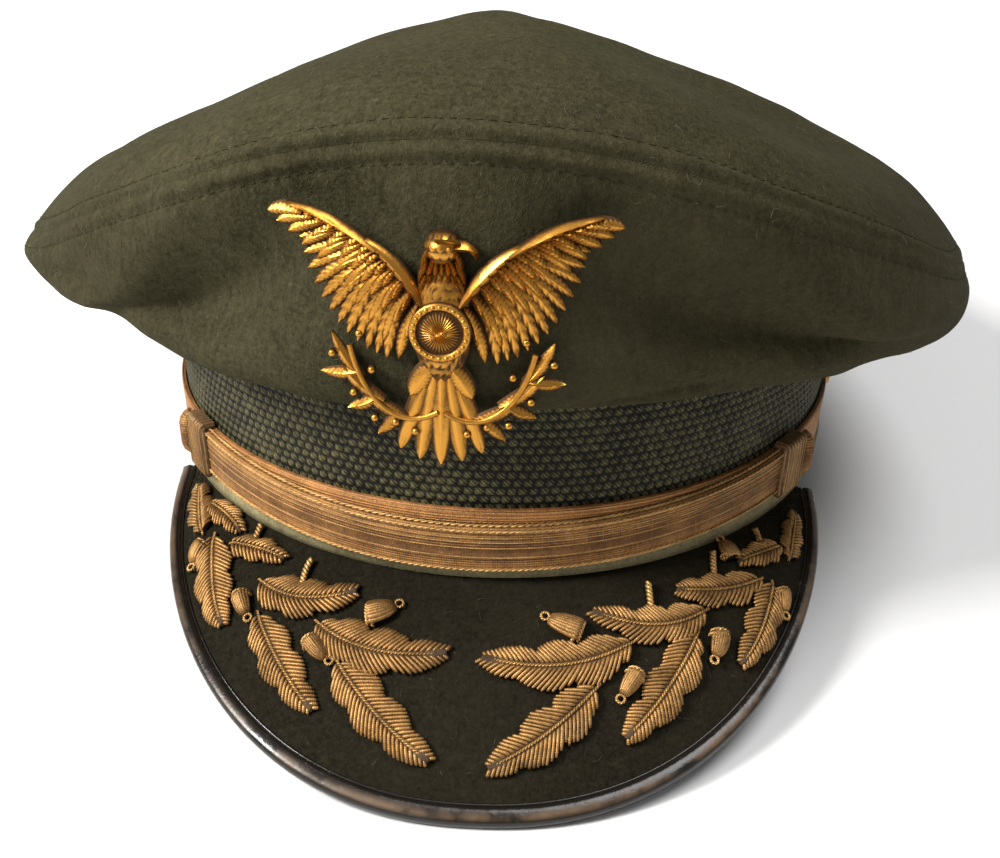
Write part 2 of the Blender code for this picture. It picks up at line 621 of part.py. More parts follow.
def make_buttons(parent, gilt):
    """A domed button on each end of the rear strap."""
    profile = [(0.0, 0.0), (BUTTON_RADIUS - BUTTON_RIM, 0.0), (BUTTON_RADIUS, 0.5 * BUTTON_RIM),
               (BUTTON_RADIUS - 0.3 * BUTTON_RIM, BUTTON_RIM)]
    for step in BUTTON_RINGS:
        profile.append((BUTTON_RADIUS * step, BUTTON_RIM + (BUTTON_DOME - BUTTON_RIM)
                        * math.sqrt(1.0 - step ** 2)))
    profile.append((0.0, BUTTON_DOME))
    turn = np.arange(BUTTON_SIDES) * 2.0 * math.pi / BUTTON_SIDES
    middle = STRAP_RISE + 0.5 * STRAP_WIDTH
    out = strap_back_out()[1] + flare(middle)
    for side, word in ((-1.0, "right"), (1.0, "left")):
        angle = np.array([side * math.radians(BUTTON_ANGLE)])
        seat = head_oval(angle, out)[0]
        normal = head_normal(angle, out)[0]
        normal = np.array([normal[0], normal[1], 0.0])
        across = np.cross([0.0, 0.0, 1.0], normal)
        lean = flare(STRAP_RISE + STRAP_WIDTH) - flare(middle)
        centre = np.array([seat[0], seat[1], middle]) + normal * (FIT_GAP + lean)
        points = [centre]
        for radius, height in profile[1:-1]:
            ring = (np.outer(np.cos(turn), across) + np.outer(np.sin(turn), [0.0, 0.0, 1.0]))
            points.extend(centre + ring * radius + normal * height)
        points.append(centre + normal * profile[-1][1])
        faces = []
        rings = len(profile) - 2
        for index in range(BUTTON_SIDES):
            near = (index + 1) % BUTTON_SIDES
            faces.append((0, 1 + near, 1 + index))
            for ring in range(rings - 1):
                low = 1 + ring * BUTTON_SIDES
                high = low + BUTTON_SIDES
                faces.append((low + index, low + near, high + near, high + index))
            last = 1 + (rings - 1) * BUTTON_SIDES
            faces.append((last + index, last + near, len(points) - 1))
        name = "side_button_" + word
        new_object(name, closed_mesh(name, points, faces), parent, gilt)


def visor_rim(share):
    """Outer edge of the visor with its binding; share runs from -1 to 1 round the front."""
    turn = 0.5 * math.pi * np.asarray(share, dtype=float)
    sine = np.sin(turn)
    cosine = np.maximum(np.cos(turn), 0.0)
    power = 2.0 / VISOR_SQUARENESS
    reach = VISOR_TIP_FORWARD - VISOR_SIDE_FORWARD
    x = VISOR_HALF_WIDTH * np.sign(sine) * np.abs(sine) ** power
    y = -VISOR_SIDE_FORWARD - reach * cosine ** power
    z = -VISOR_SIDE_DROP - (VISOR_TIP_DROP - VISOR_SIDE_DROP) * cosine ** VISOR_DROP_POWER
    twist = math.radians(VISOR_TURN)
    return np.stack([x * math.cos(twist) - y * math.sin(twist),
                     x * math.sin(twist) + y * math.cos(twist), z], axis=-1)


def visor_root(share, out):
    """Line where the visor leaves the band's foot, a distance out from the head opening."""
    angle = np.radians(VISOR_TURN + VISOR_HALF_ANGLE * np.asarray(share, dtype=float))
    plan = head_oval(angle, out)
    return np.concatenate([plan, np.full(plan.shape[:-1] + (1,), -FIT_GAP)], axis=-1)


def visor_face(share, out):
    """Upper face of the visor: out runs from 0 at the welt to 1 at the binding's inner edge."""
    share = np.asarray(share, dtype=float)
    out = np.asarray(out, dtype=float)[..., None]
    root = visor_root(share, BAND_WALL + WELT_WALL)
    rim = visor_rim(share)
    width = np.linalg.norm(rim - root, axis=-1, keepdims=True)
    edge = rim - (rim - root) / width * (BINDING_WIDTH + FIT_GAP)
    arch = VISOR_ARCH * np.cos(0.5 * math.pi * share)[..., None] * np.sin(math.pi * out)
    return root + (edge - root) * out + arch * np.array(VISOR_ARCH_WAY)


def visor_frame(share, out):
    """Upper face points with their outward normals."""
    step = 0.002
    point = visor_face(share, out)
    along = visor_face(share + step, out) - visor_face(share - step, out)
    away = visor_face(share, out + step) - visor_face(share, out - step)
    normal = np.cross(away, along)
    normal /= np.linalg.norm(normal, axis=-1, keepdims=True)
    return point, normal


def visor_shares():
    """Stations round the visor, closer together at its ends."""
    even = np.linspace(-1.0, 1.0, VISOR_STEPS + 1)
    crowded = np.sin(0.5 * math.pi * even)
    return VISOR_END_SHARE * (even + (crowded - even) * VISOR_END_CROWDING)


def make_visor(parent, cloth, patent, up, level):
    """The visor's stiff wall, its flange under the band and the binding round its edge."""
    share = visor_shares()
    rows = []
    normals = []
    for out in VISOR_ROWS:
        point, normal = visor_frame(share, np.full_like(share, out))
        rows.append(point)
        normals.append(normal)
    flange = visor_root(share, VISOR_FLANGE_OUT)
    rows.insert(0, flange)
    normals.insert(0, np.broadcast_to([0.0, 0.0, 1.0], flange.shape))
    upper = np.stack(rows)
    normal = np.stack(normals)
    normal[1] = [0.0, 0.0, 1.0]
    upper[1, :, 2] = -FIT_GAP
    lower = upper - normal * VISOR_WALL
    sections = np.concatenate([upper, lower[::-1]]).transpose(1, 0, 2)
    new_object("visor", swept("visor", sections, False), parent, cloth)

    roll = pressed(binding_sections(), up, level)
    new_object("visor_binding", swept("visor_binding", roll, False), parent, patent)


def binding_sections():
    """The patent roll along the visor's edge."""
    share = visor_shares()
    edge_normal = visor_frame(share, np.ones_like(share))[1]
    rim = visor_rim(share)
    away = rim - visor_root(share, BAND_WALL + WELT_WALL)
    away /= np.linalg.norm(away, axis=-1, keepdims=True)
    upright = edge_normal - away * np.sum(edge_normal * away, axis=-1, keepdims=True)
    upright /= np.linalg.norm(upright, axis=-1, keepdims=True)
    centre = rim - away * 0.5 * BINDING_WIDTH - edge_normal * 0.5 * VISOR_WALL
    turn = (np.arange(BINDING_SIDES) + 0.5) * 2.0 * math.pi / BINDING_SIDES
    round_out = np.sign(np.cos(turn)) * np.abs(np.cos(turn)) ** BINDING_SQUARENESS
    round_up = np.sign(np.sin(turn)) * np.abs(np.sin(turn)) ** BINDING_SQUARENESS
    round_out /= np.abs(round_out).max()
    round_up /= np.abs(round_up).max()
    return (centre[:, None] + away[:, None] * (round_out * 0.5 * BINDING_WIDTH)[None, :, None]
            + upright[:, None] * (round_up * 0.5 * BINDING_THICKNESS)[None, :, None])


def spray_axis(piece, share):
    """Points along a piece's curved axis as (round, out) shares of the visor."""
    foot = np.array([piece["foot_round"], piece["foot_out"]])
    middle = np.array([piece["mid_round"], piece["mid_out"]])
    tip = np.array([piece["tip_round"], piece["tip_out"]])
    pull = 2.0 * middle - 0.5 * (foot + tip)
    share = np.asarray(share)[:, None]
    return foot * (1.0 - share) ** 2 + 2.0 * pull * share * (1.0 - share) + tip * share ** 2


def spray_sections(piece, outline, height, groove):
    """Sections of a padded piece that lies on the visor, with a groove along its middle."""
    along, width, rise = np.array(outline).T
    axis = spray_axis(piece, along)
    centre, normal = visor_frame(axis[:, 0], axis[:, 1])
    step = 0.01
    ahead = visor_face(*spray_axis(piece, along + step).T)
    behind = visor_face(*spray_axis(piece, along - step).T)
    forward = (ahead - behind) / np.linalg.norm(ahead - behind, axis=-1, keepdims=True)
    across = np.cross(normal, forward)
    half = piece["half_width"] * (VISOR_TIP_FORWARD - HEAD_HALF_LENGTH) * width
    top = FIT_GAP + EMBROIDERY_EDGE + (height - EMBROIDERY_EDGE) * rise
    edge = np.full_like(top, FIT_GAP + EMBROIDERY_EDGE)
    floor = np.full_like(top, FIT_GAP)
    corners = [(-1.0, floor), (0.0, floor), (1.0, floor), (1.0, edge), (0.5, top),
               (0.0, top - groove), (-0.5, top), (-1.0, edge)]
    if groove == 0.0:
        corners = [corner for corner in corners if abs(corner[0]) != 0.5]
    return np.stack([centre + across * (half * side)[:, None] + normal * lift[:, None]
                     for side, lift in corners], axis=1)


def make_spray(parent, bullion):
    """The oak leaves, acorns and twigs embroidered on the visor."""
    kinds = {"leaf": (LEAF_OUTLINE, LEAF_HEIGHT, MIDRIB_DEPTH),
             "acorn": (ACORN_OUTLINE, ACORN_HEIGHT, 0.0),
             "twig": (TWIG_OUTLINE, TWIG_HEIGHT, 0.0)}
    for row in SPRAY_PIECES:
        piece = dict(zip(SPRAY_COLUMNS, row))
        name = piece["name"]
        outline, height, groove = kinds[name.split("_")[0]]
        sections = spray_sections(piece, outline, height, groove)
        new_object(name, swept(name, sections, False), parent, bullion)


def badge_place(points):
    """Badge points (right, up, out) set against the crown's front and bent round it."""
    points = np.asarray(points)
    bend = BADGE_BEND * (points[..., 0] / (0.5 * BADGE_WIDTH)) ** 2
    forward = -CROWN_FRONT_REACH - 2.0 * FIT_GAP - points[..., 2] + bend
    return np.stack([BADGE_SIDE + points[..., 0], forward, BADGE_CENTRE_UP + points[..., 1]],
                    axis=-1)


def blade_sections(foot, tip, half_width, relief):
    """A feather or leaf of the badge: a tapering bar with a ridge along its middle."""
    along, width, ridge = np.array(BLADE_STATIONS).T
    width = width * half_width
    ridge = ridge * relief
    foot = np.array(foot)
    tip = np.array(tip)
    forward = (tip - foot) / np.linalg.norm(tip - foot)
    across = np.array([-forward[1], forward[0]])
    axis = foot + (tip - foot) * along[:, None]
    flat = np.zeros(len(along))
    left = np.column_stack([axis - across * width[:, None], flat])
    right = np.column_stack([axis + across * width[:, None], flat])
    top = np.column_stack([axis, ridge])
    return np.stack([left, right, top], axis=1)


def dome_sections(radii, up, rings):
    """A rounded lump on the badge's plane: rings of a flattened ball with its foot at 0."""
    turn = np.arange(DOME_SIDES) * 2.0 * math.pi / DOME_SIDES
    sections = []
    for lift in np.linspace(0.0, 0.5 * math.pi * DOME_TOP, rings):
        reach = math.cos(lift)
        ring = np.column_stack([radii[0] * reach * np.cos(turn),
                                up + radii[1] * reach * np.sin(turn),
                                np.full(DOME_SIDES, radii[2] * math.sin(lift))])
        sections.append(ring)
    return np.stack(sections)


def badge_bodies():
    """Every body that is soldered into the badge."""
    half = np.array([0.5 * BADGE_WIDTH, 0.5 * BADGE_HEIGHT])
    bodies = []
    for row in BADGE_BLADES:
        blade = dict(zip(BADGE_COLUMNS, row))
        for side in ((1.0, -1.0) if blade["mirror"] else (1.0,)):
            foot = half * [side * blade["foot_x"], blade["foot_y"]]
            tip = half * [side * blade["tip_x"], blade["tip_y"]]
            bodies.append(blade_sections(foot, tip, blade["half_width"] * half[1],
                                         blade["relief"] * BADGE_RELIEF))
    for row in BADGE_DOMES:
        dome = dict(zip(DOME_COLUMNS, row))
        radii = (dome["half_width"] * half[1], dome["half_height"] * half[1],
                 dome["relief"] * BADGE_RELIEF)
        bodies.append(dome_sections(radii, dome["up"] * half[1], dome["rings"]))
    return bodies


def make_badge(parent, gilt):
    """The gilt badge, soldered from its bodies into one solid."""
    pieces = []
    for index, sections in enumerate(badge_bodies()):
        placed = badge_place(sections)
        name = "badge_body_%02d" % index
        piece = bpy.data.objects.new(name, swept(name, placed, False))
        pieces.append(piece)
    joined = bpy.data.collections.new("badge_bodies")
    for piece in pieces[1:]:
        joined.objects.link(piece)
        piece.hide_render = True
        piece.display_type = "WIRE"
    bpy.context.scene.collection.children.link(joined)
    badge = new_object("badge", pieces[0].data, parent, gilt)
    solder = badge.modifiers.new("solder", "BOOLEAN")
    solder.operation = "UNION"
    solder.operand_type = "COLLECTION"
    solder.collection = joined
    solder.solver = "EXACT"
    solder.use_self = True
    for piece in pieces[1:]:
        piece.parent = parent


def round_bar(name, profile, centre_up):
    """A turned bar along the cap's forward axis; profile rows are (radius, depth behind)."""
    turn = np.arange(TURNED_SIDES) * 2.0 * math.pi / TURNED_SIDES
    rows = [np.column_stack([BADGE_SIDE + radius * np.cos(turn), np.full(TURNED_SIDES, depth),
                             centre_up + radius * np.sin(turn)]) for radius, depth in profile]
    return swept(name, np.stack(rows), False)


def make_badge_post(parent, gilt, crown_side):
    """The hidden post with its nut, and the eyelet that it passes through in the crown."""
    start = -CROWN_FRONT_REACH - FIT_GAP
    nut_front = -CROWN_FRONT_REACH + CLOTH_WALL + 4.0 * FIT_GAP
    nut_back = nut_front + NUT_WALL
    profile = [(POST_RADIUS, start), (POST_RADIUS, nut_front), (NUT_RADIUS, nut_front),
               (NUT_RADIUS, nut_back)]
    post = round_bar("badge_post", profile, BADGE_CENTRE_UP)
    new_object("badge_post", post, parent, gilt)
    reach = [(POST_RADIUS + FIT_GAP, start - NUT_WALL), (POST_RADIUS + FIT_GAP, nut_back)]
    cutter = bpy.data.objects.new("eyelet_cutter", round_bar("eyelet_cutter", reach,
                                                             BADGE_CENTRE_UP))
    bpy.context.collection.objects.link(cutter)
    cutter.parent = parent
    cutter.hide_render = True
    cutter.display_type = "WIRE"
    eyelet = crown_side.modifiers.new("eyelet", "BOOLEAN")
    eyelet.operation = "DIFFERENCE"
    eyelet.object = cutter
    eyelet.solver = "EXACT"


def stand_up(root, lean):
    """Leans the cap back onto its visor and rear and centres it over the origin."""
    root.rotation_euler = (-lean, 0.0, 0.0)
    bpy.context.view_layer.update()
    turn = root.matrix_world.to_3x3()
    points = [turn @ vertex.co for piece in root.children
              if piece.type == "MESH" and not piece.hide_render
              for vertex in piece.data.vertices]
    points = np.array([tuple(point) for point in points])
    low = points.min(axis=0)
    high = points.max(axis=0)
    root.location = (-0.5 * (low[0] + high[0]), -0.5 * (low[1] + high[1]), -low[2])
    bpy.context.view_layer.update()


def make_root():
    """Removes what the scene holds and adds the empty that carries the cap."""
    for old in list(bpy.data.objects):
        bpy.data.objects.remove(old, do_unlink=True)
    root = bpy.data.objects.new("cap_frame", None)
    bpy.context.collection.objects.link(root)
    return root


def plain_finish(name, colour, roughness, metallic):
    """A plain finish in the piece's own colour."""
    material = bpy.data.materials.new(name)
    material.use_nodes = True
    shader = material.node_tree.nodes["Principled BSDF"]
    shader.inputs["Base Color"].default_value = (*colour, 1.0)
    shader.inputs["Roughness"].default_value = roughness
    shader.inputs["Metallic"].default_value = metallic
    material.diffuse_color = (*colour, 1.0)
    return material


def main():
    """Builds every piece, then leans the cap back onto the ground."""
    root = make_root()
    wool = plain_finish("crown_wool", (0.055, 0.062, 0.042), 0.95, 0.0)
    braid = plain_finish("band_braid", (0.030, 0.040, 0.028), 0.85, 0.0)
    felt = plain_finish("base_felt", (0.050, 0.060, 0.042), 0.95, 0.0)
    lace = plain_finish("strap_lace", (0.300, 0.170, 0.055), 0.45, 0.4)
    cloth = plain_finish("visor_cloth", (0.020, 0.018, 0.012), 0.95, 0.0)
    patent = plain_finish("binding_patent", (0.012, 0.010, 0.008), 0.25, 0.0)
    gilt = plain_finish("gilt", (0.600, 0.330, 0.060), 0.30, 1.0)
    bullion = plain_finish("visor_bullion", (0.430, 0.230, 0.075), 0.45, 0.6)
    lean, up, level = standing_plane()
    crown_side, _ = make_crown(root, wool)
    make_band(root, braid, felt, up, level)
    make_straps(root, lace)
    make_slides(root, lace)
    make_buttons(root, gilt)
    make_visor(root, cloth, patent, up, level)
    make_spray(root, bullion)
    make_badge(root, gilt)
    make_badge_post(root, gilt, crown_side)
    stand_up(root, lean)


main()
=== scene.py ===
"""Looks of a peaked officer's service cap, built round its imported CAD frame.

Every shape is worked out in the cap's own frame: z = 0 is the band's bottom edge, the visor
points to -Y and the wearer's left is +X. Stance carries the shapes into the row frame, where
the cap leans back onto its visor and the rear of its band. Lengths are metres.
"""

import logging
import math
from dataclasses import dataclass
from enum import Enum

import bpy
import numpy as np
from mathutils import Matrix, Vector

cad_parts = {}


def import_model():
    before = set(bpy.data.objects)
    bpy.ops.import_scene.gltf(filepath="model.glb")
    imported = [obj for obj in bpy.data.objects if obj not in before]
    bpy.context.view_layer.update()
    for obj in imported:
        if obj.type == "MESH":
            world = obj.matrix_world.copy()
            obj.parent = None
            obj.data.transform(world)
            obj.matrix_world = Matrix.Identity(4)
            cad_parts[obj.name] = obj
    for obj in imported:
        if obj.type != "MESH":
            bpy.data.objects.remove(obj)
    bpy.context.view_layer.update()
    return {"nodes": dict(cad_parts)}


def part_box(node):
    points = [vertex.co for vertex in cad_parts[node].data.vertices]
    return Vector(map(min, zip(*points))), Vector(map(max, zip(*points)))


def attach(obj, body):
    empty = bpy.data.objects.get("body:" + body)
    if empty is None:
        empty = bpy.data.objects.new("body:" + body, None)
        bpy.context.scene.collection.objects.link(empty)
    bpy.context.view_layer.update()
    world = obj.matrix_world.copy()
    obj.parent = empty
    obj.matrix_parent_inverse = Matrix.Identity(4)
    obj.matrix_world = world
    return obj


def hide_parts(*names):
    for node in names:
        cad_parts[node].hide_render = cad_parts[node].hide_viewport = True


log = logging.getLogger("service_cap")
FULL_TURN = 2.0 * math.pi


class Signal:
    """One output socket of a material, with arithmetic that adds Math nodes."""

    def __init__(self, paint: "Paint", socket: bpy.types.NodeSocket) -> None:
        """Keeps the socket and the material that it belongs to."""
        self.paint = paint
        self.socket = socket

    def math(self, operation: str, *values: "Signal | float") -> "Signal":
        """Adds a Math node.

        Args:
            operation: Blender's name of the operation.
            *values: the node's inputs in order.

        Returns:
            The node's result.
        """
        return self.paint.node("ShaderNodeMath", {"operation": operation}, dict(enumerate(values)))

    def __add__(self, other: "Signal | float") -> "Signal":
        """Sum."""
        return self.math("ADD", self, other)

    def __radd__(self, other: float) -> "Signal":
        """Sum with a number on the left."""
        return self.math("ADD", other, self)

    def __sub__(self, other: "Signal | float") -> "Signal":
        """Difference."""
        return self.math("SUBTRACT", self, other)

    def __rsub__(self, other: float) -> "Signal":
        """Difference from a number."""
        return self.math("SUBTRACT", other, self)

    def __mul__(self, other: "Signal | float") -> "Signal":
        """Product."""
        return self.math("MULTIPLY", self, other)

    def __rmul__(self, other: float) -> "Signal":
        """Product with a number on the left."""
        return self.math("MULTIPLY", other, self)

    def __pow__(self, other: "Signal | float") -> "Signal":
        """Power."""
        return self.math("POWER", self, other)

    def absolute(self) -> "Signal":
        """Size without the sign."""
        return self.math("ABSOLUTE", self)

    def sine(self) -> "Signal":
        """Sine of the value in radians."""
        return self.math("SINE", self)

    def fraction(self) -> "Signal":
        """Part after the decimal point."""
        return self.math("FRACT", self)

    def floored(self) -> "Signal":
        """Whole part."""
        return self.math("FLOOR", self)

    def span(self, low: float, high: float) -> "Signal":
        """Smooth step of the value from 0 at low to 1 at high."""
        settings = {"interpolation_type": "SMOOTHSTEP"}
        return self.paint.node("ShaderNodeMapRange", settings, {0: self, 1: low, 2: high})


class Paint:
    """A material whose nodes are added one call at a time."""

    def __init__(self, name: str) -> None:
        """Starts a material of that name with a Principled shader alone."""
        self.material = bpy.data.materials.new(name)
        self.material.use_nodes = True
        self.tree = self.material.node_tree
        self.shader = self.tree.nodes["Principled BSDF"]

    def node(self, kind: str, settings: dict | None = None, inputs: dict | None = None,
             output: int | str = 0) -> Signal:
        """Adds any node.

        Args:
            kind: Blender's type name of the node.
            settings: the node's own properties.
            inputs: values or signals for its sockets, by index or name.
            output: which output socket is wanted.

        Returns:
            That output.
        """
        made = self.tree.nodes.new(kind)
        for name, value in (settings or {}).items():
            setattr(made, name, value)
        for key, value in (inputs or {}).items():
            if isinstance(value, Signal):
                self.tree.links.new(value.socket, made.inputs[key])
            else:
                made.inputs[key].default_value = value
        return Signal(self, made.outputs[output])

    def place(self) -> Signal:
        """Object coordinates, in metres in the row frame."""
        return self.node("ShaderNodeTexCoord", output="Object")

    def surface(self) -> tuple[Signal, Signal]:
        """The piece's own two surface coordinates, in metres along and across."""
        chart = self.node("ShaderNodeUVMap", {"uv_map": "surface"})
        parts = self.tree.nodes.new("ShaderNodeSeparateXYZ")
        self.tree.links.new(chart.socket, parts.inputs[0])
        return Signal(self, parts.outputs[0]), Signal(self, parts.outputs[1])

    def noise(self, scale: float, detail: float, rough: float = 0.5,
              stretch: tuple | None = None) -> Signal:
        """Noise from 0 to 1.

        Args:
            scale: lumps to the metre.
            detail: octaves.
            rough: weight of the finer octaves.
            stretch: scale along each axis before the noise.

        Returns:
            The noise.
        """
        where = self.place()
        if stretch:
            where = self.node("ShaderNodeMapping", inputs={0: where, 3: stretch})
        return self.node("ShaderNodeTexNoise", {"noise_dimensions": "3D"},
                         {0: where, 2: scale, 3: detail, 4: rough})

    def blend(self, share: Signal | float, first: "Signal | tuple",
              second: "Signal | tuple") -> Signal:
        """Colour that goes from first to second as share goes from 0 to 1."""
        first = first if isinstance(first, Signal) else (*first, 1.0)
        second = second if isinstance(second, Signal) else (*second, 1.0)
        settings = {"data_type": "RGBA", "blend_type": "MIX", "clamp_factor": True}
        return self.node("ShaderNodeMix", settings, {0: share, 6: first, 7: second}, 2)

    def lay(self, **values: "Signal | float | tuple") -> None:
        """Sets the shader's sockets; a name's underlines stand for spaces."""
        for name, value in values.items():
            socket = self.shader.inputs[name.replace("_", " ")]
            if isinstance(value, Signal):
                self.tree.links.new(value.socket, socket)
            else:
                socket.default_value = value

    def bump(self, height: Signal, depth: float) -> None:
        """Lets a height from 0 to 1 stand out by a depth in metres."""
        raised = self.node("ShaderNodeBump", inputs={"Strength": 1.0, "Distance": depth,
                                                     "Height": height})
        self.tree.links.new(raised.socket, self.shader.inputs["Normal"])


@dataclass
class Solid:
    """Points with faces of four and three corners, and a surface chart for each corner.

    recess tells how deep in a hollow each point lies, from 0 to 1, where a finish asks for it; the
    gilt paints shade in the hollows by it.
    """

    points: np.ndarray
    quads: np.ndarray
    chart: np.ndarray
    triangles: np.ndarray | None = None
    recess: np.ndarray | None = None

    @staticmethod
    def joined(parts: "list[Solid]") -> "Solid":
        """Puts several solids of quads and triangles into one.

        Args:
            parts: the solids.

        Returns:
            One solid that holds them all.
        """
        starts = np.cumsum([0] + [len(part.points) for part in parts[:-1]])
        quads = [part.quads + start for part, start in zip(parts, starts)]
        threes = [part.triangles + start for part, start in zip(parts, starts)
                  if part.triangles is not None]
        depths = [part.recess for part in parts if part.recess is not None]
        return Solid(np.concatenate([part.points for part in parts]), np.concatenate(quads),
                     np.concatenate([part.chart for part in parts]),
                     np.concatenate(threes) if threes else None,
                     np.concatenate(depths) if len(depths) == len(parts) else None)


def sheet_of(points: np.ndarray, closed_rows: bool = False, closed_columns: bool = False,
             span: tuple[float, float] = (1.0, 1.0)) -> Solid:
    """Joins a grid of points with quads.

    Corner (row i, column j) meets (i, j + 1), (i + 1, j + 1) and (i + 1, j), and a closed
    direction wraps back to 0. The chart is (i, j) scaled to span.

    Args:
        points: rows by columns by three.
        closed_rows: whether the last row meets the first.
        closed_columns: whether the last column meets the first.
        span: chart's length along the rows and along the columns.

    Returns:
        The solid, open at the edges that aren't closed.
    """
    rows, columns = points.shape[:2]
    i, j = np.meshgrid(np.arange(rows - (not closed_rows)),
                       np.arange(columns - (not closed_columns)), indexing="ij")
    step_i = np.array([0, 0, 1, 1])
    step_j = np.array([0, 1, 1, 0])
    corner_i = i.reshape(-1, 1) + step_i
    corner_j = j.reshape(-1, 1) + step_j
    quads = corner_i % rows * columns + corner_j % columns
    last = np.array([rows - (not closed_rows), columns - (not closed_columns)])
    chart = np.stack([corner_i, corner_j], axis=-1) / last * np.array(span)
    return Solid(points.reshape(-1, 3), quads, chart)


def lidded(points: np.ndarray, span: tuple[float, float] = (1.0, 1.0)) -> Solid:
    """A tube of rings whose two ends are closed by fans about their middles.

    Args:
        points: rings by points by three.
        span: chart's length along the tube and round it.

    Returns:
        The closed solid.
    """
    rings, sides = points.shape[:2]
    tube = sheet_of(points, closed_columns=True, span=span)
    middles = np.stack([points[0].mean(axis=0), points[-1].mean(axis=0)])
    near = np.arange(sides)
    far = (near + 1) % sides
    first = np.stack([far, near, np.full(sides, rings * sides)], axis=1)
    base = (rings - 1) * sides
    last = np.stack([base + near, base + far, np.full(sides, rings * sides + 1)], axis=1)
    tube.points = np.concatenate([tube.points, middles])
    tube.triangles = np.concatenate([first, last])
    return tube


def unit(vectors: np.ndarray) -> np.ndarray:
    """Vectors scaled to length 1."""
    return vectors / np.maximum(np.linalg.norm(vectors, axis=-1, keepdims=True), 1e-12)


def path_frame(path: np.ndarray, up: np.ndarray) -> tuple[np.ndarray, np.ndarray]:
    """Directions square to a path.

    Args:
        path: points of the path.
        up: a direction for each point, or one for all.

    Returns:
        Up square to the path, and across, which is forward times up.
    """
    forward = unit(np.gradient(path, axis=-2))
    across = unit(np.cross(forward, np.broadcast_to(up, path.shape)))
    return np.cross(across, forward), across


def path_lengths(path: np.ndarray) -> np.ndarray:
    """Distance along a path at each of its points."""
    steps = np.linalg.norm(np.diff(path, axis=0), axis=-1)
    return np.concatenate([[0.0], np.cumsum(steps)])


def resampled(path: np.ndarray, up: np.ndarray, step: float) -> tuple[np.ndarray, np.ndarray]:
    """Steps evenly along a path.

    Args:
        path: its points.
        up: up directions at them, or one for all.
        step: about how long a step is.

    Returns:
        The new points and their up directions.
    """
    lengths = path_lengths(path)
    count = max(int(math.ceil(lengths[-1] / step)), 3)
    places = np.linspace(0.0, lengths[-1], count + 1)
    up = np.broadcast_to(up, path.shape)
    even = [np.column_stack([np.interp(places, lengths, values[:, axis]) for axis in range(3)])
            for values in (path, up)]
    return even[0], even[1]


def tube(path: np.ndarray, up: np.ndarray, radius: np.ndarray | float, sides: int) -> Solid:
    """A round bar along a path: centre + radius * (cos a * across + sin a * up).

    Args:
        path: points of its middle.
        up: up directions.
        radius: one radius, or one for each point.
        sides: points round it.

    Returns:
        The closed bar, with its chart in metres.
    """
    rise, across = path_frame(path, up)
    turn = np.arange(sides) * FULL_TURN / sides
    radius = np.broadcast_to(radius, path.shape[:1])[:, None, None]
    ring = (np.cos(turn)[None, :, None] * across[:, None]
            + np.sin(turn)[None, :, None] * rise[:, None])
    length = path_lengths(path)[-1]
    return lidded(path[:, None] - ring * radius, (length, FULL_TURN * float(radius.max())))


def many_bars(path: np.ndarray, up: np.ndarray, radius: np.ndarray,
              sides: int = 5) -> Solid:
    """Many short bars at once, each closed by a point at either end.

    Args:
        path: bars by points by three.
        up: up directions.
        radius: bars by points.
        sides: points round a bar.

    Returns:
        The bars, with their charts in metres along them.
    """
    bars, points = path.shape[:2]
    forward = unit(np.gradient(path, axis=1))
    across = unit(np.cross(forward, up))
    rise = np.cross(across, forward)
    turn = np.arange(sides) * FULL_TURN / sides
    ring = (np.cos(turn)[:, None] * across[:, :, None] + np.sin(turn)[:, None]
            * rise[:, :, None])
    shell = path[:, :, None] + ring * radius[..., None, None]
    tips = np.stack([path[:, 0] - forward[:, 0] * radius[:, :1] * 0.5,
                     path[:, -1] + forward[:, -1] * radius[:, -1:] * 0.9], axis=1)
    each = points * sides
    start = np.arange(bars)[:, None, None] * (each + 2)
    i, j = np.meshgrid(np.arange(points - 1), np.arange(sides), indexing="ij")
    i = i.reshape(1, -1, 1)
    j = j.reshape(1, -1, 1)
    quads = start + (i + np.array([0, 0, 1, 1])) * sides + (j + np.array([0, 1, 1, 0])) % sides
    length = np.linalg.norm(path[:, -1] - path[:, 0], axis=-1)[:, None, None]
    chart = np.stack(np.broadcast_arrays((i + np.array([0, 0, 1, 1])) / (points - 1) * length,
                                         (j + np.array([0, 1, 1, 0])) * 0.0002
                                         + np.zeros_like(start)), axis=-1)
    near = np.arange(sides)
    far = (near + 1) % sides
    begin = np.arange(bars)[:, None] * (each + 2)
    low = np.stack([begin + far, begin + near, np.broadcast_to(begin + each, (bars, sides))], -1)
    last = begin + (points - 1) * sides
    high = np.stack([last + near, last + far, np.broadcast_to(begin + each + 1,
                                                               (bars, sides))], -1)
    flat = np.concatenate([shell.reshape(bars, each, 3), tips], axis=1).reshape(-1, 3)
    threes = np.concatenate([low.reshape(-1, 3), high.reshape(-1, 3)])
    return Solid(flat, quads.reshape(-1, 4), chart.reshape(-1, 4, 2), threes)


STRAND_OFFSET = 0.48
STRAND_RADIUS = 0.54
STEPS_PER_PITCH = 7.0


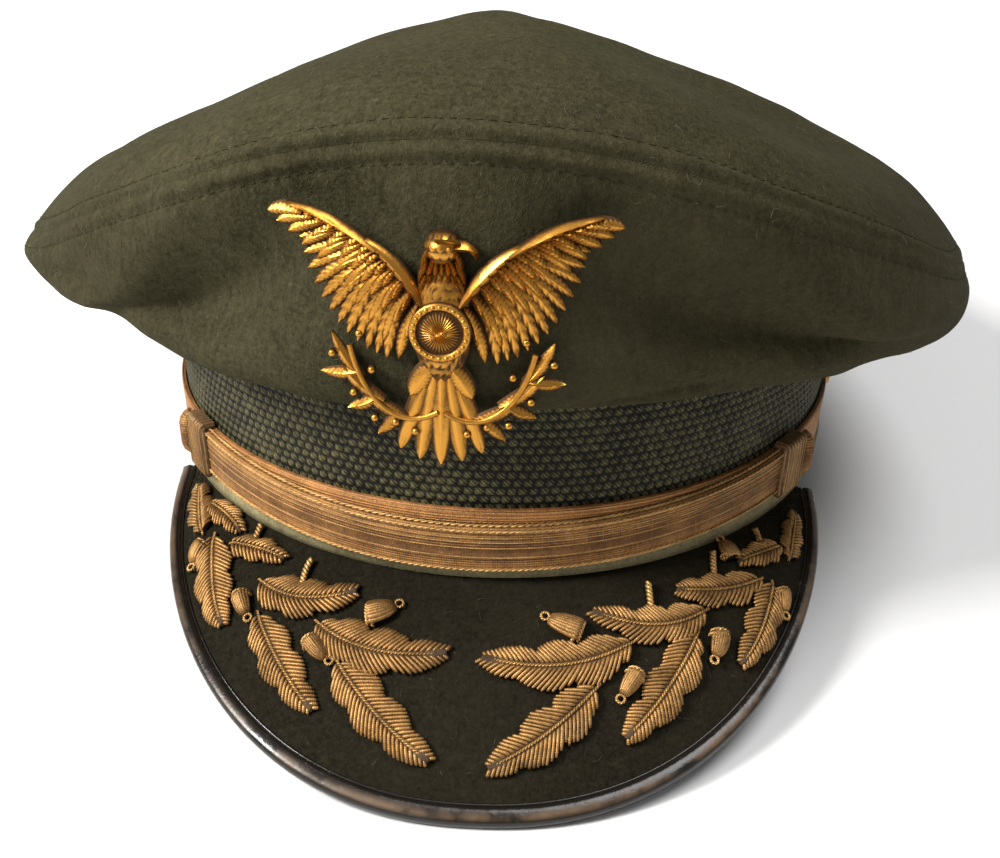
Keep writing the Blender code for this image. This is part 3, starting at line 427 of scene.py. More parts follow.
def twisted_cord(path: np.ndarray, up: np.ndarray, radius: float, pitch: float,
                 sides: int = 6) -> Solid:
    """A cord of two strands that wind round each other.

    A strand is a bar whose middle lies STRAND_OFFSET of the cord's radius from the path, at
    the angle 2 pi (length / pitch + start), where start is 0 or a half. Its own radius is
    STRAND_RADIUS of the cord's.

    Args:
        path: points of the cord's middle.
        up: up directions along it.
        radius: the cord's radius.
        pitch: length of one whole turn.
        sides: points round a strand.

    Returns:
        The cord.
    """
    path, up = resampled(path, up, pitch / STEPS_PER_PITCH)
    rise, across = path_frame(path, up)
    length = path_lengths(path)
    bars = []
    for start in (0.0, 0.5):
        turn = FULL_TURN * (length / pitch + start)
        offset = np.cos(turn)[:, None] * across + np.sin(turn)[:, None] * rise
        middle = path + STRAND_OFFSET * radius * offset
        bars.append(tube(middle, rise, STRAND_RADIUS * radius, sides))
    return Solid.joined(bars)


POST_SIDE = -0.0022
POST_UP = 0.0680
POST_NUT_RADIUS = 0.0070
POST_NUT_WALL = 0.0020
LEAN_DEGREES = 8.5155


@dataclass(frozen=True)
class Stance:
    """How the cap leans back from its own frame into the row frame."""

    lean: float
    shift: tuple[float, float, float]

    @staticmethod
    def of_frame(lean_degrees: float) -> "Stance":
        """Works out the shift from the badge's post, a turned bar whose sizes are known.

        The post runs along Y at height POST_UP, thin in front and with its nut behind. After
        the lean its box has its highest y at the nut's top and its lowest z at the nut's foot.

        Args:
            lean_degrees: how far the cap leans back.

        Returns:
            The stance.
        """
        lean = math.radians(lean_degrees)
        low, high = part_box("badge_post")
        sine = math.sin(lean)
        cosine = math.cos(lean)
        end = -Crown.front_reach + Crown.cloth + 4.0 * HEAD.gap + POST_NUT_WALL
        back = end * cosine + (POST_UP + POST_NUT_RADIUS) * sine
        foot = (POST_UP - POST_NUT_RADIUS) * cosine - end * sine
        middle = 0.5 * (low.x + high.x) - POST_SIDE
        return Stance(lean, (middle, high.y - back, low.z - foot))

    def matrix(self) -> Matrix:
        """The turn and the shift as one matrix."""
        return Matrix.Translation(self.shift) @ Matrix.Rotation(-self.lean, 4, "X")

    def place(self, points: np.ndarray) -> np.ndarray:
        """Points of the cap's own frame, in the row frame."""
        sine = math.sin(self.lean)
        cosine = math.cos(self.lean)
        x, y, z = np.moveaxis(points, -1, 0)
        return np.stack([x, y * cosine + z * sine, z * cosine - y * sine], axis=-1) + self.shift


@dataclass(frozen=True)
class Workshop:
    """Turns solids into pieces of the cap that ride on its one body.

    nodes holds the frame's own objects by name.
    """

    stance: Stance
    nodes: dict[str, bpy.types.Object]

    def piece(self, name: str, solid: Solid, finish: bpy.types.Material, slot: str,
              replaces: tuple[str, ...] = (), sharp: float | None = None) -> None:
        """Makes one piece.

        Args:
            name: the piece's name.
            solid: its shape in the cap's own frame.
            finish: its material.
            slot: the record's material slot; it is not used.
            replaces: CAD nodes that it stands for.
            sharp: angle in degrees past which an edge stays sharp, or None for all smooth.
        """
        mesh = bpy.data.meshes.new(name)
        points = self.stance.place(solid.points)
        threes = solid.triangles if solid.triangles is not None else np.zeros((0, 3), int)
        corners = np.concatenate([solid.quads.ravel(), threes.ravel()]).astype(np.int32)
        fours = len(solid.quads)
        starts = np.concatenate([np.arange(fours) * 4, 4 * fours + np.arange(len(threes)) * 3])
        mesh.vertices.add(len(points))
        mesh.vertices.foreach_set("co", points.astype(np.float32).ravel())
        mesh.loops.add(len(corners))
        mesh.loops.foreach_set("vertex_index", corners)
        mesh.polygons.add(len(starts))
        mesh.polygons.foreach_set("loop_start", starts.astype(np.int32))
        mesh.update(calc_edges=True)
        mesh.validate()
        chart = mesh.uv_layers.new(name="surface")
        spare = np.zeros((len(threes) * 3, 2))
        flat = np.concatenate([solid.chart.reshape(-1, 2), spare])
        chart.data.foreach_set("uv", flat.astype(np.float32).ravel())
        # The recess attribute carries the gilt's painted shade in the hollows.
        if solid.recess is not None:
            shade = mesh.attributes.new("recess", "FLOAT", "POINT")
            shade.data.foreach_set("value", solid.recess.astype(np.float32))
        mesh.shade_smooth()
        if sharp is not None:
            mesh.set_sharp_from_angle(angle=math.radians(sharp))
        mesh.materials.append(finish)
        made = bpy.data.objects.new(name, mesh)
        bpy.context.collection.objects.link(made)
        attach(made, "root")
        if replaces:
            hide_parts(*replaces)
        log.info("%s: %d faces", name, len(starts))


@dataclass(frozen=True)
class Wool:
    """Fulled wool of the crown, the welt or the visor: mottled, fuzzy and matt."""

    name: str
    dark: tuple[float, float, float]
    light: tuple[float, float, float]
    brown: tuple[float, float, float]
    nap: float = 0.00030
    mottle: float = 0.55

    def make(self) -> bpy.types.Material:
        """Builds the cloth: broad mottling, curled fibres and pale fibre ends.

        Returns:
            The material.
        """
        paint = Paint(self.name)
        broad = paint.noise(26.0, 4.0, 0.6)
        warm = paint.noise(9.0, 3.0, 0.5, stretch=(1.0, 1.4, 1.0))
        speck = paint.noise(950.0, 3.0, 0.75)
        hair = paint.noise(420.0, 5.0, 0.8, stretch=(1.0, 1.0, 0.35))
        curl = 1.0 - ((paint.noise(620.0, 2.0, 0.6) - 0.5).absolute() * 16.0).span(0.0, 1.0)
        share = ((broad - 0.5) * self.mottle + (speck - 0.5) * 1.5 + (hair - 0.5) * 1.3
                 + curl * 0.16 + 0.42)
        colour = paint.blend(share, self.dark, self.light)
        colour = paint.blend(warm.span(0.42, 0.72) * 0.40, colour, self.brown)
        ends = speck.span(0.64, 0.76) * hair.span(0.50, 0.62)
        colour = paint.blend(ends * 0.30, colour, tuple(2.6 * value for value in self.light))
        paint.lay(Base_Color=colour, Roughness=0.95 - 0.08 * (speck - 0.5), Sheen_Weight=0.22,
                  Sheen_Roughness=0.5, Sheen_Tint=(*self.light, 1.0), Specular_IOR_Level=0.05)
        paint.bump(hair * 0.6 + speck * 0.7 + curl * 0.30, self.nap)
        return paint.material


@dataclass(frozen=True)
class Braid:
    """Basket-woven braid of the band: shiny cells of slanting threads, with painted highlights on
    their crowns and painted shade in the gaps between them.
    """

    dark: tuple[float, float, float] = (0.0042, 0.0038, 0.0018)
    light: tuple[float, float, float] = (0.165, 0.146, 0.064)

    def make(self) -> bpy.types.Material:
        """Builds the braid on its chart, which counts cells along and rows up.

        A cell's crown is (1 - |2x - 1|^2)(1 - |2y - 1|^2) of the place in the cell, every other
        row lies half a cell on, and slanting threads cross each cell.

        Returns:
            The material.
        """
        paint = Paint("band_braid")
        along, up = paint.surface()
        odd = (up.floored() * 0.5).fraction()
        across = (along + odd).fraction()
        inside = up.fraction()
        cell = ((1.0 - (2.0 * across - 1.0).absolute() ** 2.0)
                * (1.0 - (2.0 * inside - 1.0).absolute() ** 2.0))
        threads = ((inside * 2.2 + across * 2.4) * FULL_TURN).sine() * 0.5 + 0.5
        dust = paint.noise(900.0, 3.0, 0.7)
        worn = paint.noise(45.0, 3.0, 0.6)
        tone = paint.noise(330.0, 1.0, 0.5)
        # Painted light: the cell and thread terms paint highlights on the crowns and shade in the
        # gaps; dust, worn and tone are the braid's own uneven colour.
        share = (cell * 0.36 + threads * cell * 0.50 + (dust - 0.5) * 0.8 + (worn - 0.5) * 0.5
                 + (tone - 0.5) * 0.5 - 0.12)
        paint.lay(Base_Color=paint.blend(share, self.dark, self.light),
                  Roughness=0.62 - 0.14 * cell, Specular_IOR_Level=0.16)
        paint.bump(threads * cell * 0.70 + dust * 0.35, 0.00040)
        return paint.material


class ThreadColour(Enum):
    """Colours of the gold threads: deep for tarnish and the painted shade in the gaps, bright for the
    metal and the painted highlight on the crowns.
    """

    CORD = ((0.150, 0.070, 0.018), (0.660, 0.400, 0.150))
    BULLION = ((0.054, 0.025, 0.007), (0.435, 0.236, 0.078))
    BULLION_RIB = ((0.060, 0.028, 0.008), (0.480, 0.270, 0.085))
    BULLION_BASE = ((0.030, 0.016, 0.006), (0.090, 0.050, 0.018))


@dataclass(frozen=True)
class GoldThread:
    """Gilt thread wound on a core: bright metal with tarnish and a fine wrap."""

    name: str
    colour: ThreadColour
    metal: float = 0.75
    rough: float = 0.34
    wrap: float = 0.00034

    def make(self) -> bpy.types.Material:
        """Builds the thread, its wrap on the chart's first coordinate.

        Returns:
            The material.
        """
        paint = Paint(self.name)
        deep, bright = self.colour.value
        along, _ = paint.surface()
        wrapped = (along * (FULL_TURN / self.wrap)).sine() * 0.5 + 0.5
        tarnish = paint.noise(160.0, 4.0, 0.65)
        speck = paint.noise(1500.0, 2.0, 0.6)
        # Painted light: wrapped paints a highlight on each turn's crown and shade in the grooves
        # between turns; tarnish and speck are the metal's own colour.
        share = (tarnish - 0.5) * 1.5 + (speck - 0.5) * 0.9 + wrapped * 0.22 + 0.44
        paint.lay(Base_Color=paint.blend(share, deep, bright), Metallic=self.metal,
                  Roughness=self.rough + 0.22 * (1.0 - tarnish) + 0.1 * speck)
        paint.bump(wrapped * 0.5 + speck * 0.6, 0.00006)
        return paint.material


@dataclass(frozen=True)
class Lace:
    """Flat gold lace of the straps: fine lines along it and a woven herringbone."""

    name: str
    herringbone: tuple[float, float] = (0.0, 0.0)
    line: float = 0.00060
    deep: tuple[float, float, float] = (0.095, 0.042, 0.010)
    bright: tuple[float, float, float] = (0.420, 0.220, 0.072)
    across_lines: bool = False
    rib: float = 0.00056
    rib_fade: float = 0.0002
    grain: float = 0.00055
    grain_slant: float = 900.0
    worn_middle: float = 0.0
    worn_edges: tuple[float, float, float, float] = (0.0022, 0.0036, 0.0078, 0.0092)

    def make(self) -> bpy.types.Material:
        """Builds the lace on its chart, metres along and across.

        Lines are a sine of the place across. In the herringbone, slanting ribs of either hand
        meet at its middle: a sine of along + |across - middle|. Between the worn edges the
        lace is darker by worn_middle.

        Returns:
            The material.
        """
        paint = Paint(self.name)
        along, across = paint.surface()
        low, high = self.herringbone
        middle = 0.5 * (low + high)
        lines = ((along if self.across_lines else across) * (FULL_TURN / self.line)).sine()
        lines = lines * 0.5 + 0.5
        fine = (along * (FULL_TURN / self.grain) + across * self.grain_slant).sine() * 0.5 + 0.5
        height = lines * 0.62 + fine * 0.24
        if high > low:
            ribs = ((along + (across - middle).absolute()) * (FULL_TURN / self.rib)).sine()
            fade = self.rib_fade
            inside = across.span(low, low + fade) * (1.0 - across.span(high - fade, high))
            height = height * (1.0 - inside) + (ribs * 0.36 + 0.36) * inside
        tarnish = paint.noise(120.0, 4.0, 0.65)
        speck = paint.noise(1300.0, 2.0, 0.7)
        crack = paint.noise(700.0, 2.0, 0.6, stretch=(1.0, 1.0, 0.1)).span(0.66, 0.74)
        lower, low_full, high_full, upper = self.worn_edges
        worn = across.span(lower, low_full) * (1.0 - across.span(high_full, upper))
        # Painted light: height paints highlights on the raised lines, grain and ribs and shade
        # between them; tarnish, speck, crack and the worn middle are the lace's own colour.
        share = height * 0.70 + (tarnish - 0.5) * 1.2 + (speck - 0.5) * 0.9 + crack * 0.3 + 0.08
        share = share - worn * self.worn_middle
        paint.lay(Base_Color=paint.blend(share, self.deep, self.bright), Metallic=0.40,
                  Roughness=0.60 - 0.14 * height + 0.1 * speck)
        paint.bump(height * 0.8 + speck * 0.25, 0.00020)
        return paint.material


@dataclass(frozen=True)
class Gilt:
    """Stamped gilt metal of the badge and buttons, brown in the hollows as painted shade."""

    name: str = "gilt"
    bright: tuple[float, float, float] = (0.49, 0.228, 0.037)
    brown: tuple[float, float, float] = (0.050, 0.020, 0.004)
    scratch: float = 0.00005

    def make(self) -> bpy.types.Material:
        """Builds the metal; the attribute "recess" is 1 in the hollows and 0 on the crests, and the
        brown paints shade in the hollows by it.

        Returns:
            The material.
        """
        paint = Paint(self.name)
        recess = paint.node("ShaderNodeAttribute", {"attribute_name": "recess"}, output="Fac")
        cloud = paint.noise(210.0, 4.0, 0.6)
        fine = paint.noise(1700.0, 3.0, 0.6)
        # Painted shade: the brown follows the recess attribute into the hollows; cloud and fine add
        # the metal's own uneven tone.
        share = (recess * 1.05 + (cloud - 0.5) * 0.6 + (fine - 0.5) * 0.4).span(0.08, 0.85)
        paint.lay(Base_Color=paint.blend(share, self.bright, self.brown),
                  Metallic=1.0 - 0.25 * share, Roughness=0.26 + 0.30 * share + 0.10 * cloud)
        paint.bump(fine, self.scratch)
        return paint.material


@dataclass(frozen=True)
class Patent:
    """Glossy black patent of the visor's binding, brown along its crest: partly rubbed wear, partly a
    painted highlight.
    """

    black: tuple[float, float, float] = (0.0065, 0.0050, 0.0038)
    brown: tuple[float, float, float] = (0.100, 0.058, 0.028)

    def make(self) -> bpy.types.Material:
        """Builds the patent; its chart's second coordinate counts turns round the roll.

        Returns:
            The material.
        """
        paint = Paint("binding_patent")
        _, across = paint.surface()
        # Painted light and wear: the brown band along the top of the roll, where light falls, is
        # partly rub and partly a painted highlight; scuffs are wear.
        crest = 1.0 - ((across - 0.20).absolute() * 11.0).span(0.0, 1.0)
        patches = paint.noise(60.0, 4.0, 0.6)
        scuffs = paint.noise(420.0, 4.0, 0.7)
        worn = crest * patches.span(0.36, 0.60) * 0.8 + scuffs.span(0.60, 0.74) * 0.22
        paint.lay(Base_Color=paint.blend(worn, self.black, self.brown),
                  Roughness=0.22 + 0.30 * worn + 0.16 * (scuffs - 0.4), Specular_IOR_Level=0.34,
                  Coat_Weight=0.08, Coat_Roughness=0.15)
        paint.bump(scuffs * 0.5 + patches * 0.9, 0.00022)
        return paint.material


@dataclass(frozen=True)
class Pale:
    """Plain pale floor."""

    tone: float = 0.66

    def make(self) -> bpy.types.Material:
        """Builds the floor's matt paint with a trace of unevenness."""
        paint = Paint("floor")
        cloud = paint.noise(3.0, 2.0)
        paint.lay(Base_Color=paint.blend(cloud, (self.tone,) * 3, (self.tone * 0.99,) * 3),
                  Roughness=0.85, Specular_IOR_Level=0.1)
        return paint.material


@dataclass(frozen=True)
class HeadOpening:
    """The oval that the head goes into, and the flared band that stands on it."""

    half_width: float = 0.0848
    half_length: float = 0.0978
    band_wall: float = 0.0022
    band_height: float = 0.046
    band_flare: float = 0.0034
    gap: float = 0.0003

    def oval(self, angle: np.ndarray, out: np.ndarray | float) -> np.ndarray:
        """Points a distance out from the opening; angle 0 is the front.

        Args:
            angle: radians round the head, towards the wearer's left.
            out: distance outwards.

        Returns:
            Plan points ((a + out) sin t, -(b + out) cos t).
        """
        return np.stack([(self.half_width + out) * np.sin(angle),
                         -(self.half_length + out) * np.cos(angle)], axis=-1)

    def outward(self, angle: np.ndarray, out: np.ndarray | float) -> np.ndarray:
        """Outward directions of that oval in plan, ((b + out) sin t, -(a + out) cos t)."""
        return unit(np.stack([(self.half_length + out) * np.sin(angle),
                              -(self.half_width + out) * np.cos(angle)], axis=-1))

    def flare(self, up: np.ndarray | float) -> np.ndarray | float:
        """How far the band leans out at a height."""
        return self.band_flare * up / self.band_height

    def on_band(self, angle: np.ndarray, out: np.ndarray, up: np.ndarray) -> np.ndarray:
        """Points that follow the flared band.

        Args:
            angle: radians round the head.
            out: distance out from the band's inner face.
            up: height over the band's bottom edge.

        Returns:
            Points of the cap's own frame.
        """
        plan = self.oval(angle, out + self.flare(up))
        return np.concatenate([plan, np.broadcast_to(up, angle.shape)[..., None]], axis=-1)

    def arc_angles(self, start: float, end: float, out: float, step: float) -> np.ndarray:
        """Angles from start to end degrees at even arc lengths of about a step."""
        fine = np.radians(np.linspace(start, end, 721))
        lengths = path_lengths(self.oval(fine, out))
        count = max(int(round(lengths[-1] / step)), 2)
        return np.interp(np.linspace(0.0, lengths[-1], count + 1), lengths, fine)

    def arc_length(self, angle: np.ndarray, out: float) -> np.ndarray:
        """Arc length from the front to each angle, with the angle's sign."""
        fine = np.linspace(-math.pi, math.pi, 1441)
        lengths = path_lengths(self.oval(fine, out))
        return np.interp(angle, fine, lengths - lengths[len(fine) // 2])


HEAD = HeadOpening()


LINT_LENGTHS = (0.0006, 0.0022)
LINT_CURL = 0.30
LINT_LIFT = 0.00008
LINT_RISE = 0.00022
LINT_RADIUS = 0.000032


def lint_fibres(grid: np.ndarray, normal: np.ndarray, count: int, seed: int) -> Solid:
    """Short curled fibres that lie loose on a cloth.

    A fibre runs from its place p as p + t * length * direction + curl * sin(2 t) * sideways,
    and rises by LINT_LIFT + LINT_RISE * sin(3 t) off the cloth.

    Args:
        grid: rows by columns of the cloth's points.
        normal: outward directions there.
        count: how many fibres.
        seed: seed of the fibres' places.

    Returns:
        The fibres.
    """
    rng = np.random.default_rng(seed)
    i = rng.integers(2, grid.shape[0] - 2, count)
    j = rng.integers(2, grid.shape[1] - 2, count)
    up = normal[i, j]
    side = unit(np.cross(up, unit(rng.standard_normal((count, 3)))))
    ahead = np.cross(side, up)
    t = np.linspace(0.0, 1.0, 6)[None, :, None]
    length = rng.uniform(*LINT_LENGTHS, count)[:, None, None]
    curl = rng.normal(0.0, LINT_CURL, count)[:, None, None] * length
    path = (grid[i, j][:, None] + ahead[:, None] * length * t
            + side[:, None] * curl * np.sin(2.0 * t)
            + up[:, None] * (LINT_LIFT + LINT_RISE * np.sin(3.0 * t)))
    radius = np.full(path.shape[:2], LINT_RADIUS)
    return many_bars(path, np.broadcast_to(up[:, None], path.shape), radius, 3)


@dataclass(frozen=True)
class Crown:
    """The soft wool crown: a side panel that folds over the band, and a domed top panel."""

    half_width: float = 0.137
    front_reach: float = 0.1195
    rear_reach: float = 0.138
    height: float = 0.1207
    peak_forward: float = 0.060
    cloth: float = 0.0018
    stub: float = 0.0025
    crest_up: float = 0.0048
    apex_rounding: float = 0.14
    edge_roll_power: float = 5.5
    turns: int = 548
    body_rows: int = 56
    seam_rows: int = 36
    top_rows: int = 50
    top_end: float = 0.985
    top_crowding: float = 1.05
    side_inner_rows: int = 30
    top_inner_rows: int = 24
    foot_rows: int = 5
    fold_reach: float = 0.0060
    relief_reach: float = 0.0030
    seam_zone: float = 0.0085
    groove_depth: float = 0.00075
    groove_width: float = 0.0012
    roll_height: float = 0.00050
    roll_off: float = 0.0025
    roll_width: float = 0.0014
    pinch_depth: float = 0.00034
    pinch_width: float = 0.0010
    wrinkle: float = 0.00035
    stitch_off: float = 0.0046
    stitch_row: int = 20
    stitch_pitch: float = 0.0027
    stitch_length: float = 0.0017
    stitch_bow: float = 0.00010
    stitch_radius: float = 0.00014
    lint_rows: tuple[int, int] = (30, 70)
    lint_count: int = 720
    lint_seed: int = 7

    columns = ("reach", "seam_out", "seam_up", "wide_up", "roll_out", "roll_up",
               "fold_out", "fold_up", "crest_out", "slope")
    stations = (
        (1.000, 0.960, 0.889, 0.560, 0.900, 0.425, 0.560, 0.384, 0.200, 0.22),
        (0.980, 0.960, 0.765, 0.525, 0.860, 0.416, 0.500, 0.371, 0.160, 0.56),
        (0.945, 0.965, 0.568, 0.450, 0.830, 0.388, 0.420, 0.358, 0.110, 0.74),
        (0.888, 0.965, 0.448, 0.392, 0.900, 0.302, 0.520, 0.275, 0.080, 0.70),
        (0.872, 0.965, 0.408, 0.375, 0.820, 0.320, 0.300, 0.310, 0.080, 0.95),
        (0.890, 0.960, 0.440, 0.405, 0.840, 0.350, 0.380, 0.330, 0.100, 0.92),
        (0.930, 0.955, 0.490, 0.435, 0.860, 0.370, 0.450, 0.345, 0.120, 0.80),
        (0.915, 0.960, 0.440, 0.405, 0.840, 0.350, 0.380, 0.330, 0.100, 0.88),
        (0.875, 0.965, 0.398, 0.375, 0.820, 0.320, 0.300, 0.310, 0.080, 0.93),
        (0.915, 0.965, 0.428, 0.398, 0.900, 0.318, 0.500, 0.290, 0.080, 0.82),
        (0.965, 0.965, 0.528, 0.468, 0.820, 0.432, 0.420, 0.394, 0.110, 0.70),
        (0.985, 0.960, 0.740, 0.520, 0.860, 0.424, 0.500, 0.378, 0.160, 0.58),
    )
    dent_columns = ("angle", "along", "angle_spread", "along_spread", "slant", "depth")
    dents = (
        (-27.0, 0.80, 11.0, 0.11, 0.006, 0.045),
        (25.0, 0.78, 10.0, 0.12, -0.004, 0.035),
        (-46.0, 0.82, 12.0, 0.07, 0.004, 0.030),
        (50.0, 0.72, 14.0, 0.10, -0.004, 0.025),
        (70.0, 1.35, 18.0, 0.22, 0.000, 0.020),
        (-70.0, 1.40, 18.0, 0.22, 0.000, 0.020),
        (180.0, 1.45, 40.0, 0.25, 0.000, 0.035),
        (-58.0, 0.96, 15.0, 0.11, 0.000, 0.018),
        (-53.0, 0.70, 15.0, 0.11, 0.000, -0.021),
        (68.0, 0.96, 17.0, 0.13, 0.000, 0.026),
        (60.0, 0.60, 14.0, 0.09, 0.000, -0.022),
        (25.0, 0.60, 14.0, 0.13, 0.000, 0.040),
    )
    crease_spread: float = 0.066
    crease_roll: float = 0.40
    crease_roll_off: float = 1.9
    crease_paths = (
        ((-3.0, 0.94, 0.000), (-9.0, 0.92, 0.018), (-14.0, 0.90, 0.034), (-20.0, 0.87, 0.042),
         (-27.0, 0.84, 0.044), (-32.0, 0.80, 0.042), (-38.0, 0.73, 0.026), (-46.0, 0.62, 0.004),
         (-52.0, 0.56, 0.000)),
        ((5.0, 0.94, 0.000), (12.0, 0.91, 0.026), (18.0, 0.87, 0.056), (24.0, 0.85, 0.068),
         (30.0, 0.83, 0.068), (35.0, 0.80, 0.060), (45.0, 0.70, 0.030), (58.0, 0.58, 0.000)),
    )

    def column(self, name: str, angle: np.ndarray) -> np.ndarray:
        """One column of the stations, read at the angles by a closed cubic spline.

        Args:
            name: the column.
            angle: radians round the crown.

        Returns:
            Its values.
        """
        values = np.array([row[self.columns.index(name)] for row in self.stations])
        count = len(values)
        rows = np.arange(count)
        system = 4.0 * np.eye(count)
        system[rows, (rows + 1) % count] = 1.0
        system[rows, (rows - 1) % count] = 1.0
        bend = np.linalg.solve(system, 6.0 * (np.roll(values, -1) - 2.0 * values
                                              + np.roll(values, 1)))
        place = np.mod(angle / FULL_TURN * count, count)
        low = np.floor(place).astype(int) % count
        high = (low + 1) % count
        t = place - np.floor(place)
        s = 1.0 - t
        return (s * values[low] + t * values[high]
                + (s ** 3 - s) * bend[low] / 6.0 + (t ** 3 - t) * bend[high] / 6.0)

    def controls(self, angle: np.ndarray) -> np.ndarray:
        """Control points of the side panel's outer face, from the band up to the seam.

        Args:
            angle: radians round the crown.

        Returns:
            Controls by angles by three.
        """
        foot_out = 0.5 * HEAD.band_wall + HEAD.band_flare
        wall = HEAD.oval(angle, foot_out)
        front = np.cos(angle) > 0.0
        reach = np.where(front, self.front_reach, self.rear_reach)
        outline = np.stack([self.half_width * np.sin(angle), -reach * np.cos(angle)], axis=-1)
        outline = outline * self.column("reach", angle)[:, None]

        def at(out: np.ndarray, up: np.ndarray) -> np.ndarray:
            """Points a share of the way out to the outline, at heights."""
            plan = wall + (outline - wall) * np.reshape(out, (-1, 1))
            return np.column_stack([plan, np.broadcast_to(up, angle.shape)])

        stub = wall + 0.5 * self.cloth * HEAD.outward(angle, foot_out)
        foot_up = HEAD.band_height + HEAD.gap
        points = [np.column_stack([stub, np.full_like(angle, foot_up)]),
                  np.column_stack([stub, np.full_like(angle, foot_up + self.stub)]),
                  at(self.column("crest_out", angle), foot_up + self.crest_up)]
        for part in ("fold", "roll"):
            points.append(at(self.column(part + "_out", angle),
                             self.height * self.column(part + "_up", angle)))
        points.append(at(np.ones_like(angle), self.height * self.column("wide_up", angle)))
        points.append(at(self.column("seam_out", angle),
                         self.height * self.column("seam_up", angle)))
        return np.stack(points)

    @staticmethod
    def through(points: np.ndarray, share: np.ndarray) -> np.ndarray:
        """Catmull-Rom curve through control points.

        Args:
            points: controls by angles by three.
            share: rows by angles, from 0 at the first control to 1 at the last.

        Returns:
            Rows by angles by three.
        """
        spans = len(points) - 1
        ends = [2.0 * points[:1] - points[1:2], points, 2.0 * points[-1:] - points[-2:-1]]
        padded = np.concatenate(ends)
        place = np.clip(share, 0.0, 1.0) * spans
        index = np.minimum(place.astype(int), spans - 1)
        t = (place - index)[..., None]
        columns = np.arange(points.shape[1])[None, :]
        before, start, end, after = (padded[index + step, columns] for step in range(4))
        return 0.5 * (2.0 * start + (end - before) * t
                      + (2.0 * before - 5.0 * start + 4.0 * end - after) * t * t
                      + (3.0 * start - before - 3.0 * end + after) * t ** 3)

    def dome(self, angle: np.ndarray, seam: np.ndarray, inward: np.ndarray) -> np.ndarray:
        """Outer face of the top panel.

        With r = 1 - inward, the plan point is the peak plus r of the way to the seam, and the
        height falls by slope * h + (1 - slope) * h ^ edge_roll_power, where h is r rounded at
        the apex.

        Args:
            angle: radians round the crown.
            seam: seam points at the angles.
            inward: rows by angles, from 0 at the seam to 1 at the peak.

        Returns:
            Rows by angles by three.
        """
        peak = np.array([0.0, -self.peak_forward, self.height])
        rho = 1.0 - inward
        rounding = self.apex_rounding
        rounded = (np.hypot(rho, rounding) - rounding) / (math.hypot(1.0, rounding) - rounding)
        slope = self.column("slope", angle)[None, :]
        drop = slope * rounded + (1.0 - slope) * rounded ** self.edge_roll_power
        points = peak + (seam[None] - peak) * rho[..., None]
        points[..., 2] = self.height + (seam[None, :, 2] - self.height) * drop
        return points

    def dent_depth(self, angle: np.ndarray, along: np.ndarray) -> np.ndarray:
        """Sum of the dents and of the long creases.

        A dent is depth * exp(-(turn / spread)^2 - (lift / spread)^2). A crease is depth *
        (exp(-o^2) - roll * exp(-(o - roll_off)^2)), where o is the lift over the crease's
        path divided by its spread, so that a soft roll hangs over it.

        Args:
            angle: radians round the crown.
            along: place up the section, 1 at the seam.

        Returns:
            Depth inwards.
        """
        depth = np.zeros_like(along)
        for row in self.dents:
            dent = dict(zip(self.dent_columns, row))
            turn = np.degrees(np.angle(np.exp(1j * (angle - math.radians(dent["angle"])))))
            lift = along - dent["along"] - dent["slant"] * turn[None, :]
            depth += (dent["depth"] * self.height
                      * np.exp(-(turn[None, :] / dent["angle_spread"]) ** 2
                               - (lift / dent["along_spread"]) ** 2))
        turned = np.degrees(np.angle(np.exp(1j * angle)))
        window = np.hanning(31) / np.hanning(31).sum()
        for path in self.crease_paths:
            knots = np.array(sorted(path)).T
            middle, deep = (np.interp(turned, knots[0], row) for row in knots[1:])
            middle, deep = (np.convolve(np.pad(row, 15, "wrap"), window, "valid")
                            for row in (middle, deep))
            off = (along - middle) / self.crease_spread
            roll = self.crease_roll * np.exp(-(off - self.crease_roll_off) ** 2)
            depth += deep * self.height * (np.exp(-off ** 2) - roll)
        return depth

    @staticmethod
    def normals(grid: np.ndarray, reach: float) -> np.ndarray:
        """Outward unit normals of a grid, rows up the section and columns round the crown.

        The slope up the section is taken over a reach either way, so that the directions turn
        slowly past the seam's edge and the cloth moves there without crossing itself.

        Args:
            grid: rows by columns by three.
            reach: length in metres.

        Returns:
            The normals.
        """
        steps = np.linalg.norm(np.diff(grid, axis=0), axis=-1).mean(axis=1)
        lengths = np.concatenate([[0.0], np.cumsum(steps)])
        index = np.arange(len(lengths))

        def rows_at(places: np.ndarray) -> np.ndarray:
            """Rows of the grid at lengths up the section."""
            place = np.interp(places, lengths, index)
            low = np.minimum(place.astype(int), len(index) - 2)
            share = (place - low)[:, None, None]
            return grid[low] * (1.0 - share) + grid[low + 1] * share

        rise = rows_at(lengths + reach) - rows_at(lengths - reach)
        around = np.roll(grid, -1, axis=1) - np.roll(grid, 1, axis=1)
        return unit(np.cross(around, rise))

